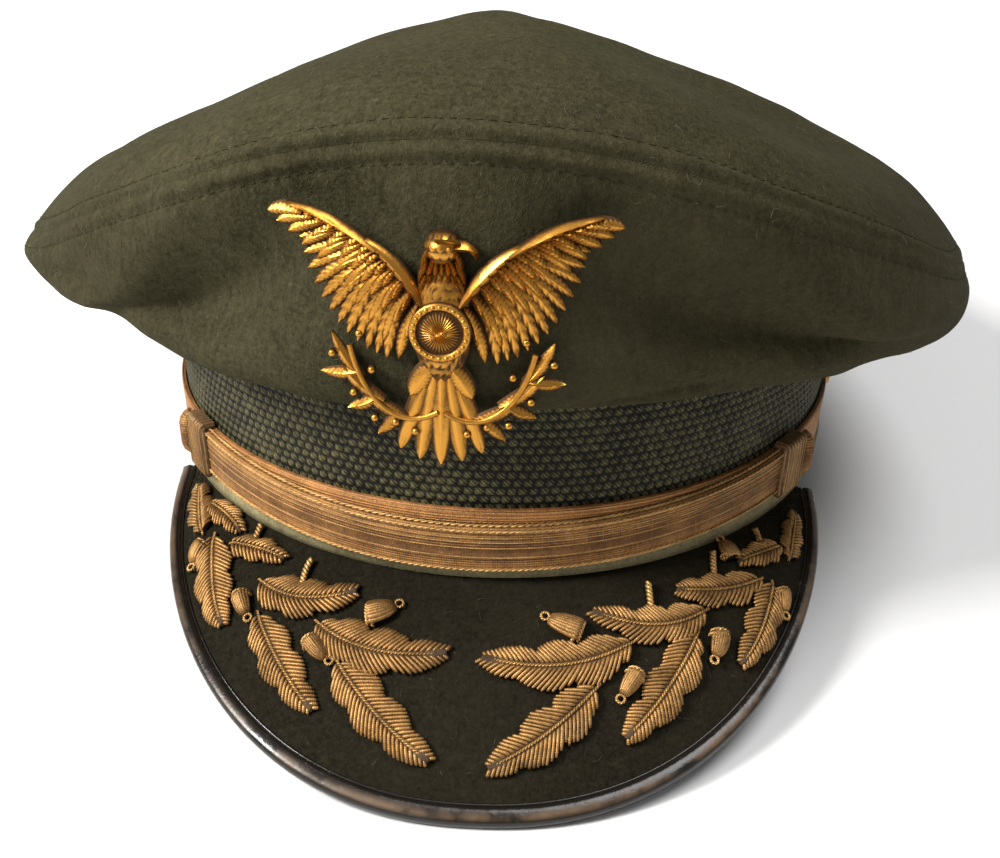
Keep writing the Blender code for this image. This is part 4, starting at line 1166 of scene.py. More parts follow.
    def seam_relief(self, off: np.ndarray, round_length: np.ndarray,
                    angle: np.ndarray) -> np.ndarray:
        """Height of the cloth near the top seam.

        A groove exp(-(d / groove_width)^2) lies between two soft rolls, and a row of stitches
        pinches the cloth at stitch_off, deepest at every stitch. All of it is strong in front
        and faint at the sides: 0.25 + 0.75 * cos(angle)^1.2.

        Args:
            off: distance from the seam.
            round_length: distance round the crown.
            angle: radians round the crown.

        Returns:
            Height outwards.
        """
        off = np.abs(off)
        slow = (1.0 + 0.25 * np.sin(45.0 * round_length) + 0.2 * np.sin(113.0 * round_length)
                + 0.15 * np.sin(290.0 * round_length))
        fade = 0.25 + 0.75 * np.maximum(np.cos(angle), 0.0) ** 1.2
        groove = -self.groove_depth * np.exp(-(off / self.groove_width) ** 2)
        roll = (self.roll_height * slow
                * np.exp(-((off - self.roll_off) / self.roll_width) ** 2))
        pinch = 0.55 + 0.45 * np.cos(FULL_TURN * round_length / self.stitch_pitch)
        line = (-self.pinch_depth * slow * pinch
                * np.exp(-((off - self.stitch_off) / self.pinch_width) ** 2))
        return (groove + roll + line) * fade

    def wrinkles(self, points: np.ndarray) -> np.ndarray:
        """Slow unevenness of cloth that has been worn: a few crossing sines."""
        x, y, z = np.moveaxis(points, -1, 0)
        waves = (np.sin(95.0 * x + 40.0 * z + 1.0) * np.sin(70.0 * y - 55.0 * z)
                 + 0.6 * np.sin(160.0 * z + 60.0 * x + 2.0) * np.cos(120.0 * x + 30.0 * y)
                 + 0.35 * np.sin(310.0 * x - 150.0 * z) * np.sin(260.0 * y + 90.0 * z))
        return self.wrinkle * waves

    def surfaces(self) -> dict[str, np.ndarray]:
        """Outer faces of both panels with their details.

        Returns:
            "side" and "top" grids, rows by angles by three, their normals and the "angle".
        """
        angle = np.arange(self.turns) * FULL_TURN / self.turns
        controls = self.controls(angle)
        seam = controls[-1]
        spans = len(controls) - 1
        small = 0.02
        edge = self.through(controls, np.full((1, self.turns), 1.0 - small))[0]
        speed = np.linalg.norm(seam - edge, axis=-1) / small
        zone = self.seam_zone / speed
        body = np.linspace(0.0, 1.0, self.body_rows)[:-1, None] * (1.0 - zone)
        near = 1.0 - np.linspace(1.0, 0.0, self.seam_rows)[:, None] * zone
        side_share = np.concatenate([body, near])
        side = self.through(controls, side_share)
        inner_edge = self.dome(angle, seam, np.full((1, self.turns), small))[0]
        top_speed = np.linalg.norm(seam - inner_edge, axis=-1) / small
        top_zone = self.seam_zone / top_speed
        top_near = np.linspace(0.0, 1.0, self.seam_rows)[:, None] * top_zone
        way = np.arange(1, self.top_rows + 1)[:, None] / self.top_rows
        top_body = top_zone + (self.top_end - top_zone) * way ** self.top_crowding
        top_share = np.concatenate([top_near, top_body])
        top = self.dome(angle, seam, top_share)
        grid = np.concatenate([side, top[1:]])
        along = np.concatenate([side_share, 1.0 + top_share[1:]])
        normal = self.normals(grid, self.fold_reach)
        grid = grid - normal * self.dent_depth(angle, along)[..., None]
        normal = self.normals(grid, self.relief_reach)
        around = path_lengths(np.vstack([seam, seam[:1]]))[:-1]
        split = len(side)
        off = np.concatenate([(1.0 - side_share) * speed, top_share[1:] * top_speed])
        relief = self.seam_relief(off, around[None, :], angle[None, :])
        free = np.clip(along * spans - 1.5, 0.0, 1.0) * np.clip((2.0 - along) * 9.0, 0, 1)
        relief = relief + self.wrinkles(grid) * free
        grid = grid + normal * relief[..., None]
        return {"side": grid[:split], "top": grid[split - 1:], "side_normal": normal[:split],
                "top_normal": normal[split - 1:], "angle": angle}

    def build(self, shop: Workshop) -> None:
        """Makes both panels and the two rows of topstitching.

        Args:
            shop: the workshop.
        """
        wool = Wool("crown_wool", (0.0135, 0.0120, 0.0056), (0.053, 0.048, 0.0245),
                    (0.041, 0.033, 0.018)).make()
        faces = self.surfaces()
        side = faces["side"]
        normal = faces["side_normal"].copy()
        flat = HEAD.outward(faces["angle"], 0.0)
        normal[:self.foot_rows] = np.concatenate([flat, np.zeros((self.turns, 1))], axis=-1)
        rows = np.unique(np.linspace(0, len(side) - 1, self.side_inner_rows).astype(int))
        inner = (side - normal * self.cloth)[rows]
        section = np.concatenate([side, inner[::-1]])
        shop.piece("crown_side_cloth", sheet_of(section, closed_rows=True, closed_columns=True),
                   wool, "crown_wool", ("crown_side",))
        self.build_top(shop, faces, wool)
        self.build_stitches(shop, faces, wool)
        lint = Wool("lint", (0.07, 0.063, 0.042), (0.19, 0.17, 0.12), (0.12, 0.10, 0.07)).make()
        first, last = self.lint_rows
        grid = np.concatenate([side[first:], faces["top"][1:last]])
        rise = np.concatenate([faces["side_normal"][first:], faces["top_normal"][1:last]])
        fibres = lint_fibres(grid, rise, self.lint_count, self.lint_seed)
        shop.piece("crown_lint", fibres, lint, "crown_wool")

    def build_top(self, shop: Workshop, faces: dict[str, np.ndarray],
                  wool: bpy.types.Material) -> None:
        """Makes the top panel: outer and inner faces, each closed by a fan at the peak.

        Args:
            shop: the workshop.
            faces: the crown's surfaces.
            wool: its cloth.
        """
        top = faces["top"]
        rows = np.unique(np.linspace(0, len(top) - 1, self.top_inner_rows).astype(int))
        inner = (top - faces["top_normal"] * self.cloth)[rows]
        toward = unit(top[1] - top[0]) * 0.00005
        top = top.copy()
        top[0] += toward
        inner[0] += toward
        cloth = lidded(np.concatenate([inner[::-1], top]))
        shop.piece("crown_top_cloth", cloth, wool, "crown_wool", ("crown_top",))

    def build_stitches(self, shop: Workshop, faces: dict[str, np.ndarray],
                       wool: bpy.types.Material) -> None:
        """Lays short thread stitches in the pinched lines on both sides of the seam.

        Args:
            shop: the workshop.
            faces: the crown's surfaces.
            wool: the thread's finish.
        """
        bars = []
        for grid, normal, row in ((faces["side"], faces["side_normal"], -1 - self.stitch_row),
                                  (faces["top"], faces["top_normal"], self.stitch_row)):
            line = np.vstack([grid[row], grid[row][:1]])
            rise = np.vstack([normal[row], normal[row][:1]])
            lengths = path_lengths(line)
            count = int(lengths[-1] / self.stitch_pitch)
            starts = (np.arange(count) + 0.2) * lengths[-1] / count
            places = starts[:, None] + np.linspace(0.0, self.stitch_length, 5)[None, :]
            bow = self.stitch_bow * np.sin(np.linspace(0.0, math.pi, 5))
            for stitch in places:
                at = np.column_stack([np.interp(stitch, lengths, line[:, k]) for k in range(3)])
                up = np.column_stack([np.interp(stitch, lengths, rise[:, k]) for k in range(3)])
                bars.append(tube(at + up * bow[:, None], up, self.stitch_radius, 4))
        shop.piece("crown_topstitching", Solid.joined(bars), wool, "crown_wool")


@dataclass(frozen=True)
class Band:
    """The braid band and the felt welt round its foot."""

    welt_height: float = 0.0052
    welt_wall: float = 0.0014
    welt_rounding: float = 0.45
    turns: int = 420
    cells: int = 240
    cell_rows: int = 22
    cell_points: int = 4
    weave_relief: float = 0.0007
    weave_power: float = 0.8

    def pressed(self, points: np.ndarray, shop: Workshop) -> np.ndarray:
        """Points under the floor are pressed up to it, along the row frame's upward direction."""
        lean = shop.stance.lean
        up = np.array([0.0, -math.sin(lean), math.cos(lean)])
        height = points @ up + shop.stance.shift[2]
        return points + np.maximum(-height, 0.0)[..., None] * up

    def ring(self, corners: list[tuple[float, float]]) -> Solid:
        """Carries a closed section round the head.

        Args:
            corners: the section's corners, (out, up).

        Returns:
            The ring.
        """
        angle = (np.arange(self.turns) * FULL_TURN / self.turns)[:, None]
        out, up = np.array(corners).T
        grid = HEAD.on_band(np.broadcast_to(angle, (self.turns, len(corners))), out[None], up[None])
        return sheet_of(grid, closed_rows=True, closed_columns=True)

    def woven(self) -> Solid:
        """The band with its basket weave.

        Height of the outer face is weave_relief * (sin(pi x) sin(pi y))^weave_power of the
        place in the cell, less weave_relief, so that crowns reach the band's own face.

        Returns:
            The band, its chart in cells along and rows up.
        """
        each = self.cell_points
        columns = np.arange(each * self.cells)
        rows = np.arange(each * self.cell_rows + 1)
        girth = 2.0 * HEAD.arc_length(np.array([math.pi]), 0.0)[0]
        angle = HEAD.arc_angles(-180.0, 180.0, 0.0, girth / (each * self.cells))[:-1]
        up = rows / rows[-1] * HEAD.band_height
        odd = (rows // each % 2) * 0.5
        x = np.mod(columns[:, None] / each + odd[None, :], 1.0)
        y = np.mod(rows / each, 1.0)[None, :]
        crown = (np.sin(math.pi * x) * np.sin(math.pi * y)) ** self.weave_power
        out = HEAD.band_wall + self.weave_relief * (crown - 1.0)
        inner = np.array([[HEAD.band_height], [0.5 * HEAD.band_height], [0.0]])
        out = np.concatenate([out, np.zeros((len(columns), 3))], axis=1)
        up = np.concatenate([up, inner.ravel()])
        grid = HEAD.on_band(np.broadcast_to(angle[:, None], out.shape), out, up[None])
        solid = sheet_of(grid, closed_rows=True, closed_columns=True)
        solid.chart = solid.chart * np.array([float(self.cells), out.shape[1] / each])
        return solid

    def build(self, shop: Workshop) -> None:
        """Makes the band and the welt.

        Args:
            shop: the workshop.
        """
        band = self.woven()
        band.points = self.pressed(band.points, shop)
        shop.piece("band_braid", band, Braid().make(), "band_braid", ("cap_band",))
        wall = HEAD.band_wall
        inner = wall + HEAD.gap
        soft = self.welt_rounding * self.welt_wall
        turn = np.linspace(0.0, 0.5 * math.pi, 5)
        round_top = [(inner + self.welt_wall - soft + soft * math.cos(a),
                      self.welt_height - soft + soft * math.sin(a)) for a in turn]
        corners = [(inner, 0.0), (inner + self.welt_wall, 0.0),
                   (inner + self.welt_wall, 0.5 * self.welt_height)] + round_top
        welt = self.ring(corners + [(inner, self.welt_height)])
        welt.points = self.pressed(welt.points, shop)
        felt = Wool("base_felt", (0.104, 0.091, 0.046), (0.300, 0.262, 0.142),
                    (0.200, 0.160, 0.090), 0.00014).make()
        shop.piece("felt_welt", welt, felt, "base_felt", ("base_welt",))


@dataclass(frozen=True)
class Visor:
    """The stiff cloth visor with its patent binding."""

    half_width: float = 0.0836
    side_forward: float = 0.042
    turn: float = 3.3
    tip_forward: float = 0.1475
    tip_drop: float = 0.0350
    side_drop: float = 0.0030
    drop_power: float = 1.28
    squareness: float = 2.22
    half_angle: float = 63.0
    arch: float = 0.0030
    arch_way: tuple[float, float, float] = (0.0, -0.4, 0.9)
    wall: float = 0.0022
    flange_out: float = 0.0008
    end_share: float = 0.985
    end_crowding: float = 0.35
    binding_width: float = 0.0048
    binding_thickness: float = 0.0044
    binding_squareness: float = 0.75
    root_out: float = 0.0036
    steps: int = 250
    face_rows: int = 61
    unevenness: float = 0.00012
    lint_count: int = 300
    lint_seed: int = 11
    binding_sides: int = 28
    binding_fill: float = 0.49
    pucker: float = 0.018
    edge_radius: float = 0.00035

    def rim(self, share: np.ndarray) -> np.ndarray:
        """Outer edge with the binding, a superellipse that drops towards its tip.

        With t a quarter turn times share, x = w sin(t)^p, y = -side - reach cos(t)^p, where p
        is 2 / squareness, and the edge drops by cos(t)^drop_power. All of it is then turned.

        Args:
            share: from -1 to 1 round the front.

        Returns:
            Points of the edge.
        """
        t = 0.5 * math.pi * share
        power = 2.0 / self.squareness
        cosine = np.maximum(np.cos(t), 0.0)
        x = self.half_width * np.sign(np.sin(t)) * np.abs(np.sin(t)) ** power
        y = -self.side_forward - (self.tip_forward - self.side_forward) * cosine ** power
        z = -self.side_drop - (self.tip_drop - self.side_drop) * cosine ** self.drop_power
        twist = math.radians(self.turn)
        return np.stack([x * math.cos(twist) - y * math.sin(twist),
                         x * math.sin(twist) + y * math.cos(twist), z], axis=-1)

    def root(self, share: np.ndarray, out: float) -> np.ndarray:
        """Line where the visor leaves the band's foot, a distance out from the opening."""
        plan = HEAD.oval(np.radians(self.turn + self.half_angle * share), out)
        return np.concatenate([plan, np.full(plan.shape[:-1] + (1,), -HEAD.gap)], axis=-1)

    def face(self, share: np.ndarray, out: np.ndarray) -> np.ndarray:
        """Upper face: straight from the root to the binding, plus an arch sin(pi out).

        Args:
            share: from -1 to 1 round the front.
            out: from 0 at the root to 1 at the binding.

        Returns:
            Points of the face.
        """
        share, out = np.broadcast_arrays(share, out)
        out = out[..., None]
        root = self.root(share, self.root_out)
        rim = self.rim(share)
        width = np.linalg.norm(rim - root, axis=-1, keepdims=True)
        edge = rim - (rim - root) / width * (self.binding_width + HEAD.gap)
        arch = self.arch * np.cos(0.5 * math.pi * share)[..., None] * np.sin(math.pi * out)
        return root + (edge - root) * out + arch * np.array(self.arch_way)

    def face_normal(self, share: np.ndarray, out: np.ndarray) -> np.ndarray:
        """Outward unit normals of the upper face."""
        step = 0.002
        along = self.face(share + step, out) - self.face(share - step, out)
        away = self.face(share, out + step) - self.face(share, out - step)
        return unit(np.cross(away, along))

    def shares(self) -> np.ndarray:
        """Stations round the visor, closer together at its ends."""
        even = np.linspace(-1.0, 1.0, self.steps + 1)
        crowded = np.sin(0.5 * math.pi * even)
        return self.end_share * (even + (crowded - even) * self.end_crowding)

    def build(self, shop: Workshop) -> None:
        """Makes the cloth visor and its binding.

        Args:
            shop: the workshop.
        """
        share = self.shares()[:, None]
        out = np.linspace(0.0, 1.0, self.face_rows)[None, :]
        top = self.face(share, out)
        normal = self.face_normal(share, out)
        flange = self.root(share[:, 0], self.flange_out)[:, None]
        upright = np.broadcast_to([0.0, 0.0, 1.0], flange.shape)
        top = np.concatenate([flange, top], axis=1)
        normal = np.concatenate([upright, normal], axis=1)
        normal[:, 1] = (0.0, 0.0, 1.0)
        x, y, _ = np.moveaxis(top, -1, 0)
        uneven = self.unevenness * np.sin(210.0 * x + 1.0) * np.sin(190.0 * y)
        uneven[:, :4] = 0.0
        uneven[:, -3:] = 0.0
        under = (top - normal * self.wall)[:, ::-3]
        section = np.concatenate([top + normal * uneven[..., None], under], axis=1)
        cloth = Wool("visor_cloth", (0.0040, 0.0034, 0.0020), (0.018, 0.0150, 0.0088),
                     (0.015, 0.0115, 0.0067), 0.00018).make()
        shop.piece("visor_cloth_shell", lidded(section), cloth, "visor_cloth", ("visor",), 50.0)
        lint = Wool("visor_lint", (0.04, 0.034, 0.023), (0.15, 0.13, 0.09), (0.07, 0.06, 0.04)).make()
        fibres = lint_fibres(top[:, 6:-4], normal[:, 6:-4], self.lint_count, self.lint_seed)
        shop.piece("visor_lint_fibres", fibres, lint, "visor_cloth")
        self.build_binding(shop)

    def build_binding(self, shop: Workshop) -> None:
        """Makes the patent roll, a rounded square section carried along the rim.

        The section is (cos a)^s, (sin a)^s scaled to the roll's width and thickness, and its
        surface swells and dips a little, as leather does that is drawn round a curve.

        Args:
            shop: the workshop.
        """
        share = self.shares()
        up = self.face_normal(share, np.ones_like(share))
        rim = self.rim(share)
        away = unit(rim - self.root(share, self.root_out))
        rise = unit(up - away * np.sum(up * away, axis=-1, keepdims=True))
        centre = rim - away * 0.5 * self.binding_width - up * 0.5 * self.wall
        turn = (np.arange(self.binding_sides) + 0.5) * FULL_TURN / self.binding_sides
        power = self.binding_squareness
        round_out = np.sign(np.cos(turn)) * np.abs(np.cos(turn)) ** power
        round_up = np.sign(np.sin(turn)) * np.abs(np.sin(turn)) ** power
        puckers = 1.0 + self.pucker * np.sin(share * 61.0) * np.sin(share * 23.0 + 1.0)
        out = (round_out * self.binding_fill * self.binding_width)[None, :, None]
        high = (round_up * self.binding_fill * self.binding_thickness)[None, :, None]
        roll = centre[:, None] + away[:, None] * out + rise[:, None] * high * puckers[:, None, None]
        length = path_lengths(rim)[-1]
        solid = lidded(roll, (length, 1.0))
        solid.points = Band().pressed(solid.points, shop)
        shop.piece("patent_binding", solid, Patent().make(), "binding_patent",
                   ("visor_binding",), 60.0)
        groove = rim - away * (self.binding_width + 0.0001) + up * 0.0001
        seam = tube(groove, up, self.edge_radius, 6)
        shop.piece("binding_edge", seam, Patent().make(), "binding_patent")


VISOR = Visor()


@dataclass(frozen=True)
class SprayPiece:
    """One embroidered leaf, acorn or twig, placed on the visor by shares of its surface."""

    name: str
    foot_round: float
    foot_out: float
    mid_round: float
    mid_out: float
    tip_round: float
    tip_out: float
    half_width: float

    @property
    def kind(self) -> str:
        """"leaf", "acorn" or "twig"."""
        return self.name.split("_")[0]

    def axis(self, share: np.ndarray) -> np.ndarray:
        """The piece's curved axis, a parabola through its middle.

        Args:
            share: places from 0 at the foot to 1 at the tip.

        Returns:
            Places (round, out) on the visor.
        """
        foot = np.array([self.foot_round, self.foot_out])
        middle = np.array([self.mid_round, self.mid_out])
        tip = np.array([self.tip_round, self.tip_out])
        pull = 2.0 * middle - 0.5 * (foot + tip)
        share = np.asarray(share)[..., None]
        return foot * (1.0 - share) ** 2 + 2.0 * pull * share * (1.0 - share) + tip * share ** 2

    def frame(self, share: np.ndarray) -> tuple[np.ndarray, np.ndarray, np.ndarray, np.ndarray]:
        """Middle line of the piece on the visor.

        Args:
            share: places from 0 at the foot to 1 at the tip, or a little past them.

        Returns:
            Points, forward directions, across directions and normals.
        """
        at = self.axis(share)
        ahead = self.axis(share + 0.01)
        behind = self.axis(share - 0.01)
        point = VISOR.face(at[..., 0], at[..., 1])
        normal = VISOR.face_normal(at[..., 0], at[..., 1])
        step = VISOR.face(ahead[..., 0], ahead[..., 1]) - VISOR.face(behind[..., 0], behind[..., 1])
        forward = unit(step - normal * np.sum(step * normal, axis=-1, keepdims=True))
        return point, forward, np.cross(normal, forward), normal

    def reach(self) -> float:
        """Half width in metres."""
        return self.half_width * (VISOR.tip_forward - HEAD.half_length)


@dataclass(frozen=True)
class Spray:
    """Padded bullion embroidery on the visor: oak leaves, acorns and twigs."""

    leaf_height: float = 0.0017
    thread: float = 0.00047
    thread_pitch: float = 0.00112
    lean: float = 0.90
    midrib: float = 0.00042
    lobes: float = 3.1
    lobe_depth: float = 0.40
    lobe_power: float = 0.75
    envelope_powers: tuple[float, float] = (0.80, 0.55)
    fullness: float = 1.12
    narrowest: float = 0.05
    bed: float = 0.0004
    rib_pitch: float = 0.0016
    acorn_height: float = 0.0026
    acorn_fullness: float = 1.12
    cup_cord: tuple[float, float] = (0.00052, 0.0017)
    tip_cord: tuple[float, float] = (0.00036, 0.0012)
    tip_ring: float = 0.00095
    twig_cord: tuple[float, float] = (0.00085, 0.0022)
    pieces = tuple(SprayPiece(*row) for row in (
        ("leaf_right_1", -0.750, 0.57, -0.815, 0.49, -0.890, 0.34, 0.060),
        ("leaf_right_2", -0.791, 0.26, -0.726, 0.18, -0.646, 0.20, 0.058),
        ("leaf_right_3", -0.706, 0.45, -0.626, 0.68, -0.546, 0.80, 0.091),
        ("leaf_right_4", -0.646, 0.34, -0.571, 0.22, -0.486, 0.17, 0.062),
        ("leaf_right_5", -0.511, 0.39, -0.401, 0.34, -0.276, 0.17, 0.093),
        ("leaf_right_6", -0.476, 0.57, -0.386, 0.70, -0.286, 0.81, 0.086),
        ("leaf_right_7", -0.336, 0.42, -0.211, 0.45, -0.051, 0.39, 0.104),
        ("leaf_right_8", -0.266, 0.56, -0.171, 0.71, -0.061, 0.86, 0.095),
        ("leaf_left_1", 0.764, 0.70, 0.814, 0.62, 0.884, 0.53, 0.050),
        ("leaf_left_2", 0.759, 0.50, 0.699, 0.37, 0.629, 0.28, 0.058),
        ("leaf_left_3", 0.679, 0.66, 0.604, 0.79, 0.519, 0.85, 0.076),
        ("leaf_left_4", 0.654, 0.53, 0.539, 0.37, 0.444, 0.23, 0.082),
        ("leaf_left_5", 0.489, 0.44, 0.367, 0.385, 0.234, 0.21, 0.088),
        ("leaf_left_6", 0.449, 0.54, 0.349, 0.71, 0.249, 0.835, 0.090),
        ("leaf_left_7", 0.304, 0.43, 0.154, 0.46, -0.001, 0.40, 0.104),
        ("leaf_left_8", 0.214, 0.59, 0.114, 0.74, 0.014, 0.87, 0.095),
        ("acorn_right_1", -0.716, 0.58, -0.716, 0.71, -0.711, 0.82, 0.036),
        ("acorn_right_2", -0.546, 0.55, -0.526, 0.59, -0.506, 0.62, 0.034),
        ("acorn_right_3", -0.346, 0.51, -0.321, 0.54, -0.296, 0.56, 0.034),
        ("acorn_right_4", -0.241, 0.29, -0.216, 0.26, -0.186, 0.21, 0.046),
        ("acorn_left_1", 0.619, 0.23, 0.619, 0.15, 0.619, 0.06, 0.040),
        ("acorn_left_2", 0.209, 0.32, 0.179, 0.28, 0.144, 0.23, 0.046),
        ("acorn_left_3", 0.304, 0.57, 0.284, 0.61, 0.264, 0.65, 0.034),
        ("acorn_left_4", 0.504, 0.60, 0.489, 0.66, 0.474, 0.70, 0.036),
        ("acorn_left_5", 0.694, 0.78, 0.684, 0.84, 0.674, 0.91, 0.028),
        ("twig_right_1", -0.416, 0.24, -0.421, 0.17, -0.421, 0.10, 0.018),
        ("twig_right_2", -0.596, 0.17, -0.601, 0.10, -0.606, 0.04, 0.016),
        ("twig_left_1", 0.374, 0.26, 0.379, 0.20, 0.384, 0.14, 0.018),
        ("twig_left_2", 0.554, 0.25, 0.564, 0.18, 0.579, 0.10, 0.018),
        ("twig_left_3", 0.724, 0.23, 0.727, 0.18, 0.729, 0.12, 0.018),
    ))

    def outline(self, share: np.ndarray, side: float) -> np.ndarray:
        """A leaf's half width, as a share of its own.

        The envelope (sin(pi share^p))^q carries rounded lobes 1 - depth * (1 - |cos|^r), where
        p and q are the envelope's powers and r is the lobes', and the lobes of the two sides
        aren't abreast.

        Args:
            share: from 0 at the foot to 1 at the tip.
            side: -1 or 1.

        Returns:
            The shares.
        """
        share = np.clip(share, 0.0, 1.0)
        inner, outer = self.envelope_powers
        envelope = np.sin(math.pi * share ** inner) ** outer
        wave = np.abs(np.cos(math.pi * self.lobes * share + (0.35 if side > 0 else 1.35)))
        scallop = 1.0 - self.lobe_depth * (1.0 - wave ** self.lobe_power)
        return np.maximum(envelope * scallop * self.fullness, self.narrowest)

    def leaf(self, piece: SprayPiece) -> tuple[Solid, Solid, Solid]:
        """A leaf of slanting gold threads over a pad, with a twisted cord for its midrib.

        Thread k leaves the midrib at share a_k and runs to the outline; at the share v of its
        way, its place is (a_k + v * lean * width / length, side * v * width), and its height
        is pad height * (1 - 0.62 v^2.4) * (1 - 0.40 (1 - v)^6), so the threads lie on a domed
        pad and dip at the midrib.

        Args:
            piece: the leaf.

        Returns:
            The threads, the pad and the midrib.
        """
        rng = np.random.default_rng(sum(piece.name.encode()))
        point = piece.frame(np.linspace(0.0, 1.0, 41))[0]
        length = path_lengths(point)[-1]
        half = piece.reach()
        count = int(length / self.thread_pitch)
        way = np.linspace(0.0, 1.0, 8)[None, :]
        bars = []
        for side in (-1.0, 1.0):
            foot = (np.arange(count) + 0.5 * (side > 0)) / count * 1.02 - 0.03
            width = half * self.outline(foot, side)
            for _ in range(4):
                width = half * self.outline(foot + self.lean * width / length, side)
            lead = foot + self.lean * width / length
            kept = (lead < 1.03) & (lead > 0.02)
            foot = foot[kept, None]
            width = width[kept, None] * (1.0 + 0.015 * rng.standard_normal((kept.sum(), 1)))
            share = foot + way * self.lean * width / length
            middle, _, across, normal = piece.frame(np.clip(share, 0.0, 1.03))
            pad = np.minimum(width / (0.55 * half), 1.0)
            dome = (1.0 - 0.62 * way ** 2.4) * (1.0 - 0.40 * (1.0 - way) ** 6)
            rise = self.bed + (self.leaf_height - self.bed) * pad * dome
            path = (middle + across * (side * (way * width + 0.0004))[..., None]
                    + normal * rise[..., None])
            lump = self.thread * (1.0 + 0.06 * rng.standard_normal((len(foot), 1)))
            radius = lump * np.array([0.6, 0.95, 1.0, 1.0, 1.0, 1.0, 1.0, 0.78])[None, :]
            bars.append(many_bars(path, normal, radius))
        return Solid.joined(bars), self.pad(piece, half), self.rib(piece)

    def pad(self, piece: SprayPiece, half: float) -> Solid:
        """The dark pad under a leaf's threads, a low dome inside its outline.

        Args:
            piece: the leaf.
            half: its half width.

        Returns:
            The pad.
        """
        share = np.linspace(0.02, 0.98, 60)
        middle, _, across, normal = piece.frame(share)
        turn = np.linspace(0.0, FULL_TURN, 16, endpoint=False)
        side = np.cos(turn)
        width = np.where(side[None, :] > 0, self.outline(share, 1.0)[:, None],
                         self.outline(share, -1.0)[:, None]) * half * 0.90
        lift = np.maximum(np.sin(turn), -0.15)[None, :] * self.leaf_height * 0.72 + HEAD.gap
        grid = (middle[:, None] + across[:, None] * (side[None, :] * width)[..., None]
                + normal[:, None] * lift[..., None])
        return lidded(grid)

    def rib(self, piece: SprayPiece) -> Solid:
        """The midrib, a twisted cord from the stem to near the tip.

        Args:
            piece: the leaf.

        Returns:
            The cord.
        """
        share = np.linspace(-0.06, 0.93, 60)
        middle, _, _, normal = piece.frame(share)
        rise = self.leaf_height - 0.0001 - 0.0009 * np.clip((share - 0.7) / 0.3, 0, 1) ** 2
        rise = np.where(share < 0.08, rise * (0.45 + 0.55 * np.clip((share + 0.06) / 0.14, 0, 1)),
                        rise)
        line = middle + normal * rise[:, None]
        return twisted_cord(line, normal, self.midrib, self.rib_pitch)

    def acorn(self, piece: SprayPiece) -> tuple[Solid, Solid, Solid]:
        """An acorn: a ribbed body, two cords for its cup and a small ring at its tip.

        The body's half width falls as sqrt(1 - ((share - 0.3) / 0.76)^2), and eight lengthwise
        bars lie side by side on it.

        Args:
            piece: the acorn.

        Returns:
            The threads, the pad and the cords.
        """
        half = piece.reach() * self.acorn_fullness
        height = self.acorn_height
        share = np.linspace(0.12, 0.98, 9)
        middle, _, across, normal = piece.frame(share)
        profile = np.sqrt(np.clip(1.0 - ((share - 0.30) / 0.76) ** 2, 0.03, 1.0))
        lanes = np.linspace(-0.86, 0.86, 8)
        side = lanes[:, None] * profile[None, :] * half
        rise = self.bed + height * profile[None, :] * np.sqrt(1.0 - lanes[:, None] ** 2 * 0.93)
        path = middle[None] + across[None] * side[..., None] + normal[None] * rise[..., None]
        radius = np.full(path.shape[:2], 0.30 * half) * (0.45 + 0.55 * profile[None, :])
        threads = many_bars(path, np.broadcast_to(normal, path.shape), radius)
        turn = np.linspace(0.0, FULL_TURN, 14, endpoint=False)
        lift = np.maximum(np.sin(turn), -0.1)[None, :] * height * 0.85 * profile[:, None] + HEAD.gap
        pad = lidded(middle[:, None] + across[:, None]
                     * (np.cos(turn)[None, :] * profile[:, None] * half * 0.85)[..., None]
                     + normal[:, None] * lift[..., None])
        cords = []
        arc = np.linspace(-0.5 * math.pi, 0.5 * math.pi, 17)
        for place, size in ((0.06, 0.98), (0.22, 1.16)):
            at, _, wide, up = piece.frame(np.full(17, place))
            bow = (wide * (np.sin(arc) * half * size)[:, None]
                   + up * (self.bed + height * 0.92 * np.cos(arc))[:, None])
            cords.append(twisted_cord(at + bow, up, *self.cup_cord))
        tip, ahead, wide, up = piece.frame(np.array([1.0]))
        centre = tip + ahead * 0.0012 + up * 0.0011
        spin = np.linspace(0.0, FULL_TURN, 25)[:, None]
        loop = centre + self.tip_ring * (np.cos(spin) * ahead + np.sin(spin) * wide)
        cords.append(twisted_cord(loop, np.broadcast_to(up, loop.shape), *self.tip_cord))
        return threads, pad, Solid.joined(cords)

    def twig(self, piece: SprayPiece) -> Solid:
        """A cut twig, a twisted cord."""
        share = np.linspace(-0.35, 1.0, 14)
        middle, _, _, normal = piece.frame(share)
        lift = 0.0009 + 0.0004 * share
        return twisted_cord(middle + normal * lift[:, None], normal, *self.twig_cord)

    def build(self, shop: Workshop) -> None:
        """Makes every leaf, acorn and twig.

        Args:
            shop: the workshop.
        """
        bullion = GoldThread("visor_bullion", ThreadColour.BULLION).make()
        cord = GoldThread("bullion_cord", ThreadColour.CORD, wrap=0.0004).make()
        rib_cord = GoldThread("bullion_rib", ThreadColour.BULLION_RIB, wrap=0.0004).make()
        base = GoldThread("bullion_pad", ThreadColour.BULLION_BASE, 0.3, 0.6).make()
        for piece in self.pieces:
            if piece.kind == "twig":
                shop.piece(piece.name + "_cord", self.twig(piece), cord, "visor_bullion",
                           (piece.name,))
                continue
            threads, pad, rib = (self.leaf if piece.kind == "leaf" else self.acorn)(piece)
            shop.piece(piece.name + "_threads", threads, bullion, "visor_bullion", (piece.name,))
            shop.piece(piece.name + "_pad", pad, base, "visor_bullion")
            shop.piece(piece.name + "_cords", rib, rib_cord if piece.kind == "leaf" else cord,
                       "visor_bullion")


